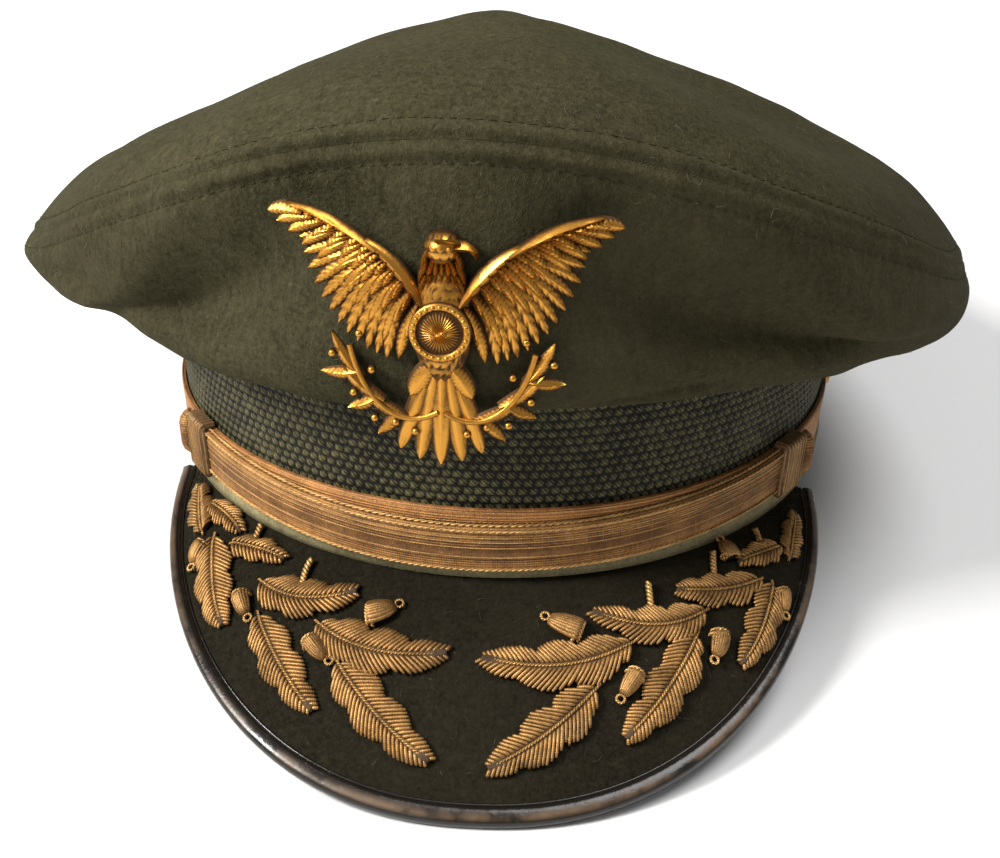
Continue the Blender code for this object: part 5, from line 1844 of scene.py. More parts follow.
@dataclass(frozen=True)
class Straps:
    """The two layers of the lace chin strap, with its slides."""

    width: float = 0.0118
    back_wall: float = 0.0010
    front_wall: float = 0.0014
    rise: float = 0.0062
    sag: float = 0.0040
    sag_power: float = 1.2
    slide_right: float = 51.0
    slide_left: float = 57.5
    slide_length: float = 0.0105
    slide_wall: float = 0.0012
    end_length: float = 0.0046
    end_fold: float = 0.0026
    button_angle: float = 97.0
    button_radius: float = 0.0068
    step: float = 0.0005
    cords: tuple[float, ...] = (0.00085, 0.01115)
    lines: tuple[float, ...] = (0.0041, 0.0066, 0.0081, 0.0093)
    back_lines: tuple[float, ...] = (0.0085, 0.0098, 0.0110)
    herringbone: tuple[float, float] = (0.0043, 0.0064)
    cord_margin: int = 12
    cord_size: tuple[float, float] = (0.00040, 0.0030)
    edge_size: tuple[float, float] = (0.00044, 0.0034)
    line_radius: float = 0.00017
    back_line_pitch: float = 0.0024
    front_line_pitch: float = 0.0016
    slide_ribs: int = 7
    slide_line: tuple[float, float] = (0.00016, 0.0016)
    slide_lines: tuple[float, ...] = (-0.86, -0.57, -0.28, 0.0, 0.28, 0.57, 0.86)

    @property
    def back_inner(self) -> float:
        """How far out the rear layer's back lies."""
        return HEAD.band_wall + HEAD.gap

    @property
    def back_outer(self) -> float:
        """How far out the rear layer's face lies."""
        return self.back_inner + self.back_wall

    @property
    def front_inner(self) -> float:
        """How far out the front layer's back lies."""
        return self.back_inner + max(self.back_wall, Band.welt_wall) + HEAD.gap

    @property
    def front_outer(self) -> float:
        """How far out the front layer's face lies."""
        return self.front_inner + self.front_wall

    def arc_degrees(self, length: float, out: float) -> float:
        """Degrees round the head that a length takes near the slides."""
        turn = math.radians(0.5 * (self.slide_left + self.slide_right))
        step = math.hypot((HEAD.half_width + out) * math.cos(turn),
                          (HEAD.half_length + out) * math.sin(turn))
        return math.degrees(length / step)

    def low(self, angle: np.ndarray) -> np.ndarray:
        """Height of the front strap's lower edge: rise - sag * cos(share)^sag_power."""
        slide = np.where(angle > 0.0, self.slide_left, self.slide_right)
        share = np.clip(np.abs(angle) / np.radians(slide), 0.0, 1.0)
        return self.rise - self.sag * np.cos(0.5 * math.pi * share) ** self.sag_power

    def body(self, angle: np.ndarray, low: np.ndarray, inner: float,
             outer: np.ndarray, soft: float, top_inner: float | None = None) -> Solid:
        """A flat strap with rounded edges.

        Args:
            angle: stations round the head.
            low: height of the lower edge at them.
            inner: how far out the back face lies.
            outer: how far out the front face lies, at the stations.
            soft: radius of the rounded edges.
            top_inner: how far out the back of its upper edge lies, where that differs.

        Returns:
            The strap, with its chart in metres along and up from the lower edge.
        """
        turn = np.linspace(0.0, 0.5 * math.pi, 4)
        up = np.concatenate([[0.0], soft * (1.0 - np.cos(turn)),
                             np.linspace(soft, self.width - soft, 9)[1:-1],
                             self.width - soft * (1.0 - np.sin(0.5 * math.pi - turn)),
                             [self.width]])
        back = np.concatenate([[1.0], (1.0 - np.sin(turn)), np.zeros(7),
                               1.0 - np.cos(0.5 * math.pi - turn), [1.0]])
        depth = np.minimum(soft, 0.8 * (outer - inner))
        front = outer[:, None] - depth[:, None] * back[None, :]
        front[:, 0] = inner
        front[:, -1] = inner if top_inner is None else top_inner
        grid = HEAD.on_band(np.broadcast_to(angle[:, None], front.shape), front,
                            low[:, None] + up[None, :])
        solid = lidded(grid)
        arc = HEAD.arc_length(angle, inner)
        i = np.round(solid.chart[..., 0] * (len(angle) - 1)).astype(int)
        j = np.round(solid.chart[..., 1] * len(up)).astype(int) % len(up)
        solid.chart = np.stack([arc[i], up[j]], axis=-1)
        return solid

    def along(self, angle: np.ndarray, low: np.ndarray, across: float,
              out: float) -> tuple[np.ndarray, np.ndarray]:
        """A line that runs along the strap.

        Args:
            angle: stations round the head.
            low: height of the strap's lower edge at them.
            across: height over that edge.
            out: how far out the line lies.

        Returns:
            Its points and the outward directions.
        """
        flat = HEAD.outward(angle, out)
        up = np.concatenate([flat, np.zeros((len(angle), 1))], axis=-1)
        return HEAD.on_band(angle, np.full_like(angle, out), low + across), up

    def build(self, shop: Workshop) -> None:
        """Makes both layers, their cords and the slides.

        Args:
            shop: the workshop.
        """
        cord = GoldThread("strap_cord", ThreadColour.CORD, 0.7, 0.40).make()
        self.build_back(shop, cord)
        self.build_front(shop, cord)
        lace = Lace("slide_lace", line=0.00048, across_lines=True, deep=(0.070, 0.036, 0.013),
                    bright=(0.300, 0.170, 0.068)).make()
        self.build_slide(shop, "right", -self.slide_right, lace, cord)
        self.build_slide(shop, "left", self.slide_left, lace, cord)
        metal = Gilt("button_gilt").make()
        for name in ("side_button_right", "side_button_left", "badge_post"):
            shop.nodes[name].material_slots[0].material = metal

    def build_back(self, shop: Workshop, cord: bpy.types.Material) -> None:
        """Makes the rear layer from button to button, with three fine twisted lines towards its upper
        edge.

        Args:
            shop: the workshop.
            cord: finish of the cords.
        """
        reach = self.button_angle + math.degrees(self.button_radius / HEAD.half_length)
        angle = HEAD.arc_angles(-reach, reach, self.back_inner, self.step * 2.0)
        low = np.full_like(angle, self.rise)
        outer = np.full_like(angle, self.back_outer)
        lace = Lace("strap_back_lace", line=0.00070, deep=(0.140, 0.052, 0.012),
                    bright=(0.580, 0.255, 0.070)).make()
        shop.piece("strap_back_lace", self.body(angle, low, self.back_inner, outer, 0.0003),
                   lace, "strap_lace", ("strap_back",), 60.0)
        fine = []
        for across in self.back_lines:
            line, up = self.along(angle, low, across, self.back_outer - 0.00002)
            fine.append(twisted_cord(line, up, self.line_radius, self.back_line_pitch, 3))
        shop.piece("strap_back_lines", Solid.joined(fine), cord, "strap_lace")

    def build_front(self, shop: Workshop, cord: bpy.types.Material) -> None:
        """Makes the front layer: its lace, three twisted cords, fine lines and folded ends.

        Args:
            shop: the workshop.
            cord: finish of the cords and lines.
        """
        half = 0.5 * self.arc_degrees(self.slide_length, self.front_outer)
        start = -self.slide_right - half
        end = self.slide_left + half
        angle = HEAD.arc_angles(start, end, self.front_inner, self.step)
        low = self.low(angle)
        outer = np.full_like(angle, self.front_outer - 0.0002)
        lace = Lace("strap_front_lace", self.herringbone, deep=(0.080, 0.030, 0.006),
                    bright=(0.500, 0.245, 0.068), worn_middle=0.20).make()
        front = self.body(angle, low, self.front_inner, outer, 0.0008,
                          self.back_outer + 0.00005)
        shop.piece("strap_front_lace", front, lace, "strap_lace", ("strap_front",), 60.0)
        inside = angle[self.cord_margin:-self.cord_margin]
        base = self.low(inside)
        bars = []
        for across in self.cords:
            line, up = self.along(inside, base, across, self.front_outer)
            bars.append(twisted_cord(line, up, *self.cord_size))
        line, up = self.along(inside, base, self.width + 0.0002, self.back_outer + 0.0007)
        bars.append(twisted_cord(line, up, *self.edge_size))
        shop.piece("strap_front_cords", Solid.joined(bars), cord, "strap_lace")
        fine = []
        for across in self.lines:
            line, up = self.along(inside, base, across, self.front_outer - 0.00012)
            fine.append(twisted_cord(line, up, self.line_radius, self.front_line_pitch, 3))
        shop.piece("strap_front_lines", Solid.joined(fine), cord, "strap_lace")
        for word, side in (("right", -1.0), ("left", 1.0)):
            edge = self.slide_right if side < 0 else self.slide_left
            near = edge + half + self.arc_degrees(2.0 * HEAD.gap, self.front_outer)
            far = near + self.arc_degrees(self.end_length, self.front_outer)
            share = np.linspace(0.0, 1.0, 19)
            turn = np.radians(side * (near + (far - near) * share))
            bulge = self.end_fold * np.sqrt(1.0 - (2.0 * share - 1.0) ** 2 * 0.96)
            order = slice(None) if side > 0 else slice(None, None, -1)
            knob = self.body(turn[order], np.full(19, self.rise), self.front_inner,
                             (self.front_outer - 0.0006 + 1.25 * bulge)[order], 0.0032)
            shop.piece("strap_end_" + word, knob, lace, "strap_lace", sharp=50.0)

    def build_slide(self, shop: Workshop, word: str, middle: float,
                    lace: bpy.types.Material, cord: bpy.types.Material) -> None:
        """Makes one slide, a channel of lace round both layers with fine lines on its face.

        Args:
            shop: the workshop.
            word: "right" or "left".
            middle: its place round the head in degrees.
            lace: finish of the slide.
            cord: finish of its lines.
        """
        inner = HEAD.band_wall + 2.0 * HEAD.gap
        face = self.front_outer + HEAD.gap
        outer = face + self.slide_wall
        low = self.rise - HEAD.gap
        high = self.rise + self.width + HEAD.gap
        welt = self.back_inner + Band.welt_wall + HEAD.gap
        wall = self.slide_wall
        turn = np.linspace(0.0, 0.5 * math.pi, 6)
        soft = 1.2 * wall
        foot = [(outer - soft + soft * math.sin(a), low - wall + soft * (1.0 - math.cos(a)))
                for a in turn]
        head = [(outer - soft + soft * math.cos(a), high + wall - soft * (1.0 - math.sin(a)))
                for a in turn]
        rows = [(outer, value) for value in np.linspace(low + 0.8 * wall, high - 0.8 * wall, 8)]
        contour = [(welt, low - wall)] + foot + rows[1:-1] + head + [
            (inner, high + wall), (inner, high), (face, high), (face, low), (welt, low)]
        out, up = np.array(contour).T
        half = 0.5 * self.arc_degrees(self.slide_length, outer)
        count = 91
        share = np.linspace(-1.0, 1.0, count)
        angle = np.radians(middle + half * share)
        rib = 0.00014 * np.cos(self.slide_ribs * 0.5 * FULL_TURN * share)
        crown = rib - 0.0007 * np.abs(share) ** 14
        free = np.clip((out - inner) / (face - inner), 0.0, 1.0) * (out > inner + 1e-6)
        lift = free[None, :] * (crown[:, None] - 0.0002) * (out > face - 1e-6)
        rise = np.clip((up - high) / wall, -0.2, 1.0) - np.clip((low - up) / wall, -0.2, 1.0)
        rise = np.where((up > high - 1e-6) | (up < low + 1e-6), rise, 0.0)
        grid = HEAD.on_band(np.broadcast_to(angle[:, None], (count, len(out))), out[None] + lift,
                            up[None] + rise[None] * crown[:, None])
        solid = lidded(grid)
        length = HEAD.arc_length(angle, outer)
        i = np.round(solid.chart[..., 0] * (count - 1)).astype(int)
        solid.chart = np.stack([length[i], solid.chart[..., 1] * 0.03], axis=-1)
        name = "strap_slide_" + word
        shop.piece(name + "_lace", solid, lace, "strap_lace", (name,), 60.0)
        lines = []
        for side in self.slide_lines:
            turn_at = np.full(len(contour) - 4, math.radians(middle + half * side))
            line = HEAD.on_band(turn_at, out[:-4] - 0.00004, up[:-4])
            flat = HEAD.outward(turn_at[:1], outer)[0]
            rise = np.array([flat[0], flat[1], 0.4])
            lines.append(twisted_cord(line[1:], rise, *self.slide_line, 3))
        shop.piece(name + "_lines", Solid.joined(lines), cord, "strap_lace")


@dataclass(frozen=True)
class Badge:
    """The gilt badge: a spread eagle over a laurel wreath, stamped in one piece."""

    height: float = 0.0600
    width: float = 0.0640
    centre_up: float = POST_UP
    relief: float = 0.0032
    bend: float = 0.0022
    shaft: float = 0.00032
    barb: float = 0.00011
    barb_pitch: float = 0.0010
    scallop_pitch: tuple[float, float] = (0.0017, 0.0019)
    rays: int = 36
    beads: int = 24
    bead_radius: float = 0.00052
    berry_radius: float = 0.00085
    stem_radius: float = 0.00066
    stem_knots = ((0.02, -0.60), (0.22, -0.66), (0.38, -0.58), (0.52, -0.40), (0.60, -0.14))
    berries = ((0.17, -0.76), (0.30, -0.70), (0.44, -0.68), (0.58, -0.50), (0.46, -0.32),
               (0.72, -0.22), (0.54, -0.06))
    head_size: float = 0.14
    head_up: float = 0.58
    hackles = ((1.9, 7, 0.95), (1.1, 7, 0.85), (0.45, 5, 0.7))
    coverts = ((0.44, 0.86, 11, 0.056), (0.28, 1.05, 12, 0.052), (0.15, 1.20, 13, 0.046))
    arm_feathers = (((0.12, 0.20), (0.50, 0.64), 0.060), ((0.42, 0.56), (1.00, 0.84), 0.046))
    flight_feathers: int = 12
    tail_blades: int = 4
    flight = (
        (0.52, 0.60, 0.92, 0.60),
        (0.48, 0.54, 0.86, 0.36),
        (0.42, 0.48, 0.76, 0.14),
        (0.36, 0.42, 0.64, -0.04),
        (0.28, 0.36, 0.50, -0.16),
        (0.20, 0.30, 0.36, -0.22),
    )
    columns = ("foot_x", "foot_y", "tip_x", "tip_y", "half_width", "relief", "mirror")
    blades = (
        (0.00, -0.20, 0.00, -1.00, 0.085, 0.70, 0),
        (0.03, -0.20, 0.14, -0.97, 0.080, 0.62, 1),
        (0.05, -0.22, 0.27, -0.90, 0.080, 0.55, 1),
        (0.04, -0.20, 0.20, -0.48, 0.090, 0.90, 1),
        (0.00, -0.62, 0.30, -0.66, 0.060, 0.50, 1),
        (0.22, -0.66, 0.50, -0.50, 0.075, 0.60, 1),
        (0.28, -0.62, 0.42, -0.80, 0.070, 0.55, 1),
        (0.38, -0.54, 0.66, -0.30, 0.075, 0.60, 1),
        (0.42, -0.52, 0.62, -0.62, 0.070, 0.55, 1),
        (0.52, -0.38, 0.72, -0.06, 0.070, 0.60, 1),
        (0.54, -0.34, 0.80, -0.36, 0.070, 0.55, 1),
    )
    arm = ((0.13, 0.18), (0.30, 0.42), (0.46, 0.60), (0.72, 0.72), (0.93, 0.80))
    boss_profile = ((0.212, 0.0), (0.212, 1.50), (0.200, 1.60), (0.168, 1.60), (0.156, 1.44),
                    (0.146, 1.46), (0.110, 1.62), (0.050, 1.78), (0.006, 1.80))
    # Painted shade of the boss's profile: darkest at its foot and in its groove.
    boss_recess = (1.0, 0.75, 0.1, 0.15, 0.9, 0.7, 0.25, 0.0, 0.0)

    @property
    def half(self) -> np.ndarray:
        """Half the width and half the height."""
        return np.array([0.5 * self.width, 0.5 * self.height])

    def place(self, flat: np.ndarray) -> np.ndarray:
        """Puts badge points (right, up, out) against the crown and bends them round it.

        The badge falls back by bend * (right / half width)^2.

        Args:
            flat: points on the badge's own plane.

        Returns:
            Points of the cap's own frame.
        """
        back = self.bend * (flat[..., 0] / (0.5 * self.width)) ** 2
        forward = -Crown.front_reach - 2.0 * HEAD.gap - flat[..., 2] + back
        return np.stack([POST_SIDE + flat[..., 0], forward, self.centre_up + flat[..., 1]], -1)

    def form(self, flat: np.ndarray, recess: np.ndarray) -> Solid:
        """Closes rings of badge points into a solid with its recesses.

        Rings that run clockwise seen from outside are turned round, so that faces point out.

        Args:
            flat: rings by points by (right, up, out).
            recess: how deep in a hollow each point lies.

        Returns:
            The solid.
        """
        ring = flat[len(flat) // 2]
        ahead = flat[-1].mean(axis=0) - flat[0].mean(axis=0)
        turned = np.cross(ring, np.roll(ring, -1, axis=0)).sum(axis=0)
        order = 1 if np.dot(turned, ahead) > 0.0 else -1
        solid = lidded(self.place(flat[:, ::order]))
        recess = np.broadcast_to(recess, flat.shape[:2])[:, ::order]
        solid.recess = np.concatenate([recess.ravel(), [recess[0].mean(), recess[-1].mean()]])
        return solid

    def feather(self, foot: tuple, tip: tuple, half: float, lift: float,
                bow: float = 0.0, barbs: float = 1.0, blunt: float = 7.0) -> Solid:
        """One feather or leaf.

        Its half width is half * (0.62 + 0.38 sin(pi t)) * sqrt(1 - t^blunt), its face is a low
        roof with a raised shaft exp(-(s / 0.13)^2), and barbs sin(2 pi (t * length / pitch
        + 1.2 |s|)) slant from the shaft.

        Args:
            foot: where it starts.
            tip: where it ends.
            half: half width.
            lift: how far its middle stands out.
            bow: how far its middle line bends sideways, as a share of its length.
            barbs: strength of the barbs.
            blunt: how blunt its tip is.

        Returns:
            The form.
        """
        foot = np.array(foot)
        length = np.linalg.norm(np.array(tip) - foot)
        forward = (np.array(tip) - foot) / length
        across = np.array([-forward[1], forward[0]])
        t = np.linspace(0.0, 0.995, 24)[:, None]
        s = np.concatenate([np.linspace(-1.0, 1.0, 13), [0.5, -0.5]])[None, :]
        top = np.concatenate([np.ones(13), np.zeros(2)])[None, :]
        width = half * (0.62 + 0.38 * np.sin(math.pi * t)) * np.sqrt(1.0 - t ** blunt)
        roof = (1.0 - np.abs(s) ** 1.7) * (1.0 - 0.45 * t ** 2)
        shaft = np.exp(-(s / 0.13) ** 2) * (1.0 - 0.8 * t)
        wave = np.sin(FULL_TURN * (t * length / self.barb_pitch + 1.2 * np.abs(s)))
        cut = barbs * wave * (1.0 - shaft) * np.minimum(1.0, (1.0 - np.abs(s)) * 3.0)
        height = top * (lift * (0.34 + 0.48 * roof) + self.shaft * shaft + self.barb * cut)
        line = foot + forward * (t * length) + across * (bow * np.sin(math.pi * t) * length)
        plan = line[:, None, :] + across[None, None, :] * (s * width)[..., None]
        # Painted shade: the recess darkens the feather's edges, the valleys between its barbs and its
        # foot, where the next feather lies over it.
        recess = 0.95 * np.abs(s) ** 2.2 + 0.30 * (1.0 - cut) * (1.0 - shaft) * barbs - 0.12
        recess = np.clip(recess + 0.35 * (1.0 - t) ** 2, 0.0, 1.0) * top + (1.0 - top)
        return self.form(np.concatenate([plan, height[..., None]], axis=-1), recess)

    def lump(self, centre: tuple, radii: tuple, scales: float = 0.0) -> Solid:
        """A rounded lump, half an ellipsoid, whose face may carry rows of small feathers.

        The feathers are scallops, each row half a scallop on from the last.

        Args:
            centre: its middle (right, up).
            radii: (right, up, out).
            scales: height of the scallops.

        Returns:
            The form.
        """
        rise = np.linspace(0.0, 0.97, 26)[:, None]
        turn = np.linspace(0.0, FULL_TURN, 48, endpoint=False)[None, :]
        reach = np.cos(0.5 * math.pi * rise)
        x = reach * np.cos(turn)
        y = reach * np.sin(turn)
        z = np.broadcast_to(np.sin(0.5 * math.pi * rise), x.shape)
        row = -y * radii[1] / self.scallop_pitch[1]
        lane = x * radii[0] / self.scallop_pitch[0] + 0.5 * (np.floor(row) % 2)
        down = row - np.floor(row)
        tip = 2.0 * np.abs(lane - np.floor(lane) - 0.5)
        edge = np.clip((1.0 - down - 0.45 * tip ** 2) * 4.0, 0.0, 1.0) * (0.35 + 0.65 * down)
        scallop = edge if scales else np.zeros_like(x)
        flat = np.stack([centre[0] + radii[0] * x, centre[1] + radii[1] * y,
                         radii[2] * z + scales * scallop], axis=-1)
        flat[0, :, 2] = 0.0
        # Painted shade: the recess darkens the lump's low flanks and the gaps between its scallops.
        recess = 0.95 * (1.0 - z) ** 1.5 + (0.85 * (1.0 - scallop) - 0.15 if scales else 0.0)
        return self.form(flat, np.clip(recess, 0.0, 1.0))

    def bead(self, centre: tuple, radius: float, lift: float) -> Solid:
        """A small ball that stands on the badge.

        Args:
            centre: its middle (right, up).
            radius: its radius.
            lift: how far out its middle lies.

        Returns:
            The form.
        """
        rise = np.linspace(0.0, 0.96, 6)[:, None]
        turn = np.linspace(0.0, FULL_TURN, 10, endpoint=False)[None, :]
        reach = np.cos(0.5 * math.pi * rise)
        flat = np.stack(np.broadcast_arrays(centre[0] + radius * reach * np.cos(turn),
                                            centre[1] + radius * reach * np.sin(turn),
                                            lift + radius * np.sin(0.5 * math.pi * rise)), -1)
        flat[0, :, 2] = 0.0
        # Painted shade: darker towards the bead's foot.
        return self.form(flat, 0.9 * (1.0 - rise) ** 2)

    def boss(self) -> list[Solid]:
        """The round boss on the breast: a turned profile with a sunburst, ringed by beads.

        Returns:
            Its forms.
        """
        radius, lift = np.array(self.boss_profile).T
        turn = np.linspace(0.0, FULL_TURN, 144, endpoint=False)[None, :]
        fine = np.linspace(0.0, len(radius) - 1.0, 41)
        radius = np.interp(fine, np.arange(len(radius)), radius)[:, None] * self.half[1]
        lift = np.interp(fine, np.arange(len(lift)), lift)[:, None] * self.relief
        depth = np.interp(fine, np.arange(len(self.boss_recess)), self.boss_recess)[:, None]
        inside = np.clip((fine[:, None] - 5.0) / 0.5, 0.0, 1.0) * np.clip((8.0 - fine[:, None]), 0, 1)
        rays = np.cos(self.rays * turn) * inside
        up = 0.033 * self.half[1]
        flat = np.stack(np.broadcast_arrays(radius * np.cos(turn), up + radius * np.sin(turn),
                                            lift + 0.00010 * rays), -1)
        # Painted shade: the boss's profile recess, deeper between the rays.
        forms = [self.form(flat, np.clip(depth + 0.30 * (1.0 - rays) * inside, 0.0, 1.0))]
        size = 0.184 * self.half[1]
        for a in np.arange(self.beads) * FULL_TURN / self.beads:
            forms.append(self.bead((size * math.cos(a), up + size * math.sin(a)),
                                   self.bead_radius, 1.58 * self.relief))
        return forms

    def wings(self) -> list[Solid]:
        """Flight feathers that fan from each wing's arm, and three rows of coverts over them.

        Returns:
            The feathers.
        """
        forms = []
        long = np.array(self.flight)
        knots = np.arange(len(long))
        places = np.linspace(0.0, knots[-1], self.flight_feathers)
        for k, place in enumerate(places):
            foot_x, foot_y, tip_x, tip_y = (np.interp(place, knots, long[:, c]) for c in range(4))
            for side in (1.0, -1.0):
                forms.append(self.feather(self.half * [side * foot_x, foot_y],
                                          self.half * [side * tip_x, tip_y],
                                          0.056 * self.half[1], (0.62 + 0.10 * (k % 2))
                                          * self.relief, 0.06 * side, 1.0, 9.0))
        arm = np.array(self.arm)
        for reach, lift, count, wide in self.coverts:
            spot = np.linspace(0.02, 0.95, count)
            x, y = (np.interp(spot, np.linspace(0.0, 1.0, len(arm)), arm[:, c]) for c in range(2))
            turn = np.radians(np.interp(spot, (0.0, 0.5, 1.0), (-72.0, -38.0, 0.0)))
            for side in (1.0, -1.0):
                for k in range(count):
                    foot = self.half * [side * x[k], y[k]]
                    ahead = np.array([side * math.cos(turn[k]), math.sin(turn[k])])
                    tip = foot + ahead * reach * (1.0 - 0.45 * spot[k]) * self.half[1]
                    forms.append(self.feather(foot, tip, wide * self.half[1],
                                              lift * self.relief, 0.05 * side, 0.9, 9.0))
        for side in (1.0, -1.0):
            for first, last, wide in self.arm_feathers:
                forms.append(self.feather(self.half * [side * first[0], first[1]],
                                          self.half * [side * last[0], last[1]],
                                          wide * self.half[1], 1.36 * self.relief,
                                          0.05 * side, 0.35, 5.0))
        return forms

    def tail_and_wreath(self) -> list[Solid]:
        """The fan tail, the legs' feathering and the laurel leaves of the blade table.

        Returns:
            The blades.
        """
        forms = []
        for index, row in enumerate(self.blades):
            blade = dict(zip(self.columns, row))
            tail = index < self.tail_blades
            for side in ((1.0, -1.0) if blade["mirror"] else (1.0,)):
                forms.append(self.feather(self.half * [side * blade["foot_x"], blade["foot_y"]],
                                          self.half * [side * blade["tip_x"], blade["tip_y"]],
                                          blade["half_width"] * self.half[1] * (0.95 if tail
                                                                                else 0.82),
                                          blade["relief"] * self.relief,
                                          side * (0.0 if tail else -0.06), 0.7,
                                          12.0 if tail else 3.0))
        return forms

    def head(self) -> list[Solid]:
        """The head in profile, with neck hackles, a brow, an eye and a hooked beak.

        Returns:
            Its forms.
        """
        size = self.head_size * self.half[1]
        up = self.head_up * self.half[1]
        forms = []
        for row, (drop, count, spread) in enumerate(self.hackles):
            for place in np.linspace(-1.0, 1.0, count):
                foot = np.array([place * spread * 0.8 * size, up - (drop - 0.7) * size])
                tip = foot + np.array([place * 0.45 * size, -1.25 * size])
                forms.append(self.feather(foot, tip, 0.24 * size,
                                          (1.16 + 0.12 * row) * self.relief, 0.0, 0.8, 4.0))
        forms.append(self.lump((0.0, up + 0.10 * size),
                               (0.92 * size, 0.86 * size, 1.55 * self.relief), 0.00014))
        forms.append(self.feather((0.30 * size, up + 0.16 * size), (1.75 * size, up - 0.02 * size),
                                  0.34 * size, 1.42 * self.relief, 0.12, 0.0, 2.5))
        forms.append(self.feather((1.35 * size, up + 0.12 * size), (1.66 * size, up - 0.52 * size),
                                  0.17 * size, 1.22 * self.relief, 0.14, 0.0, 2.5))
        forms.append(self.feather((-0.30 * size, up + 0.62 * size), (0.95 * size, up + 0.42 * size),
                                  0.15 * size, 1.74 * self.relief, 0.06, 0.0, 3.0))
        forms.append(self.bead((0.40 * size, up + 0.30 * size), 0.00046, 1.50 * self.relief))
        return forms

    def stems(self) -> list[Solid]:
        """The wreath's two stems and its berries.

        Returns:
            Their forms.
        """
        knots = np.array(self.stem_knots)
        places = np.linspace(0.0, 1.0, len(knots))
        fine = np.linspace(0.0, 1.0, 40)
        smooth = np.stack([np.polyval(np.polyfit(places, knots[:, k], 3), fine)
                           for k in range(2)], axis=1) * self.half
        forms = []
        for side in (1.0, -1.0):
            flat = np.column_stack([smooth[:, 0] * side, smooth[:, 1],
                                    np.full(40, 0.42 * self.relief)])
            bar = tube(self.place(flat), np.array([0.0, -1.0, 0.0]), self.stem_radius, 8)
            # Painted shade: the stems a little darker all along.
            bar.recess = np.full(len(bar.points), 0.3)
            forms.append(bar)
            for x, y in self.berries:
                forms.append(self.bead((side * x * self.half[0], y * self.half[1]),
                                       self.berry_radius, 0.34 * self.relief))
        return forms

    def build(self, shop: Workshop) -> None:
        """Makes the badge as one piece.

        Args:
            shop: the workshop.
        """
        half = self.half[1]
        forms = self.wings() + self.tail_and_wreath() + self.stems()
        forms.append(self.lump((0.0, 0.06 * half), (0.215 * half, 0.45 * half,
                                                    1.28 * self.relief), 0.00034))
        forms += self.head() + self.boss()
        shop.piece("badge_eagle", Solid.joined(forms), Gilt().make(), "gilt", ("badge",), 60.0)


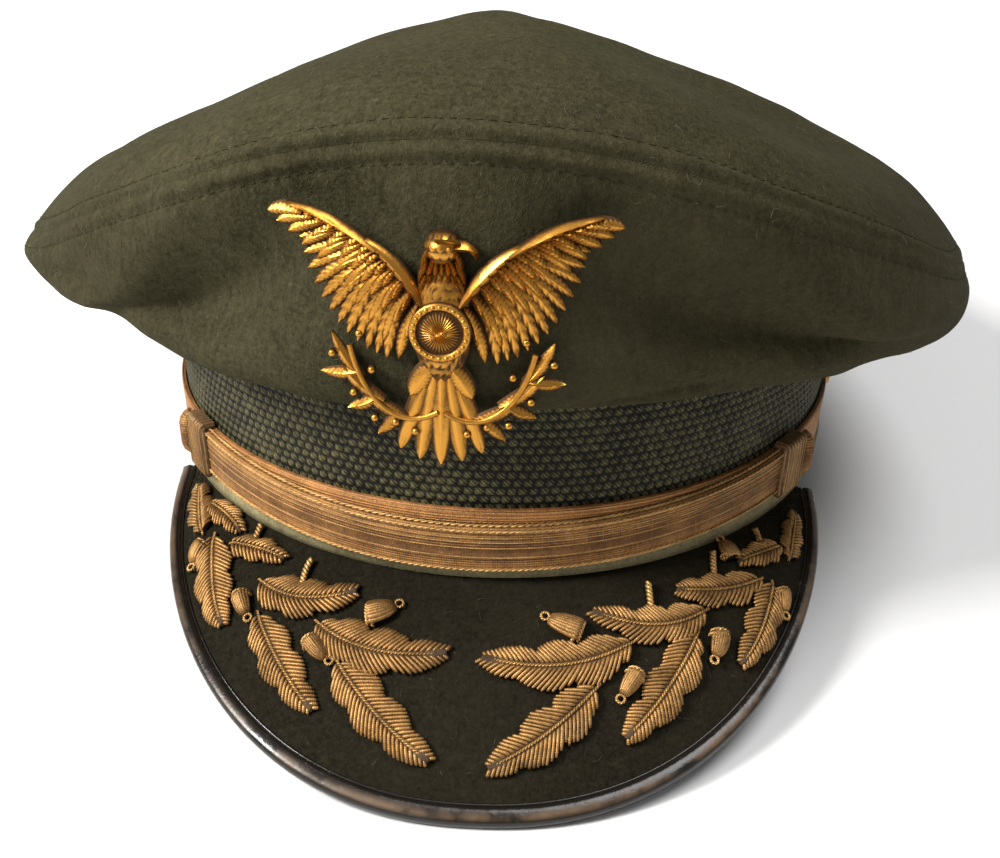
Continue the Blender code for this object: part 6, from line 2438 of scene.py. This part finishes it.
@dataclass(frozen=True)
class Studio:
    """The camera at the photograph's angle, the soft lights and the pale floor."""

    distance: float = 0.463
    elevation: float = 23.6
    azimuth: float = 5.19
    roll: float = 1.42
    focal_pixels: float = 1601.0
    centre: tuple[float, float] = (505.0, 402.0)
    frame: tuple[int, int] = (1000, 858)
    sensor: float = 36.0

    def camera(self, stance: Stance) -> None:
        """Sets the camera, given in the cap's own frame.

        Args:
            stance: the cap's stance.
        """
        e, az, roll = (math.radians(v) for v in (self.elevation, self.azimuth, self.roll))
        back = Vector((math.sin(az) * math.cos(e), -math.cos(az) * math.cos(e), math.sin(e)))
        level = Vector((math.cos(az), math.sin(az), 0.0))
        rise = back.cross(level)
        right = level * math.cos(roll) + rise * math.sin(roll)
        up = rise * math.cos(roll) - level * math.sin(roll)
        turned = Matrix((right, up, back)).transposed().to_4x4()
        data = bpy.data.cameras.new("camera")
        data.sensor_width = self.sensor
        data.lens = self.focal_pixels * self.sensor / self.frame[0]
        data.shift_x = (0.5 * self.frame[0] - self.centre[0]) / self.frame[0]
        data.shift_y = (self.centre[1] - 0.5 * self.frame[1]) / self.frame[0]
        data.clip_start = 0.01
        camera = bpy.data.objects.new("camera", data)
        bpy.context.collection.objects.link(camera)
        place = Matrix.Translation(back * self.distance) @ turned
        camera.matrix_world = stance.matrix() @ place
        bpy.context.scene.camera = camera

    def daylight(self, place: tuple, strength: float, spread: float) -> None:
        """Adds a broad distant light, so the floor stays even however far it runs.

        Args:
            place: a point the light comes from, in the row frame.
            strength: its strength.
            spread: the width of its disc in degrees.
        """
        data = bpy.data.lights.new("daylight", "SUN")
        data.energy = strength
        data.angle = math.radians(spread)
        lamp = bpy.data.objects.new("daylight", data)
        bpy.context.collection.objects.link(lamp)
        lamp.location = place
        lamp.rotation_euler = (-Vector(place)).to_track_quat("-Z", "Y").to_euler()

    def light(self, name: str, place: tuple, size: float, watts: float,
              warmth: tuple = (1.0, 1.0, 1.0)) -> None:
        """Adds a square soft light that looks at the cap.

        Args:
            name: the light's name.
            place: its place in the row frame.
            size: its side.
            watts: its power.
            warmth: its colour.
        """
        data = bpy.data.lights.new(name, "AREA")
        data.shape = "SQUARE"
        data.size = size
        data.energy = watts
        data.color = warmth
        lamp = bpy.data.objects.new(name, data)
        bpy.context.collection.objects.link(lamp)
        aim = Vector((0.0, -0.02, 0.06)) - Vector(place)
        lamp.location = place
        lamp.rotation_euler = aim.to_track_quat("-Z", "Y").to_euler()

    def build(self, shop: Workshop) -> None:
        """Makes the floor, the lights and the camera.

        Args:
            shop: the workshop.
        """
        self.camera(shop.stance)
        mesh = bpy.data.meshes.new("floor")
        reach = 6.0
        mesh.from_pydata([(-reach, -reach, 0.0), (reach, -reach, 0.0), (reach, reach, 0.0),
                          (-reach, reach, 0.0)], [], [(0, 1, 2, 3)])
        mesh.materials.append(Pale().make())
        floor = bpy.data.objects.new("floor", mesh)
        bpy.context.collection.objects.link(floor)
        self.light("key", (-0.88, -0.44, 0.90), 0.42, 36.0, (1.0, 0.985, 0.95))
        self.light("fill", (0.9, -0.8, 0.55), 0.9, 0.6)
        self.daylight((0.34, 0.18, 1.25), 2.6, 35.0)
        self.light("front", (-0.40, -1.3, 0.60), 0.5, 1.5)
        world = bpy.data.worlds.new("studio")
        world.use_nodes = True
        backdrop = world.node_tree.nodes["Background"]
        backdrop.inputs[0].default_value = (1.0, 1.0, 1.0, 1.0)
        backdrop.inputs[1].default_value = 0.25
        bpy.context.scene.world = world
        bpy.context.scene.view_settings.view_transform = "Standard"


def main() -> None:
    """Loads the frame, builds every sub-assembly in order and logs each piece."""
    logging.basicConfig(level=logging.INFO, format="%(name)s: %(message)s")
    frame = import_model()
    shop = Workshop(Stance.of_frame(LEAN_DEGREES), frame["nodes"])
    for part in (Crown(), Band(), VISOR, Spray(), Straps(), Badge()):
        part.build(shop)
    Studio().build(shop)


if __name__ == "__main__":
    main()
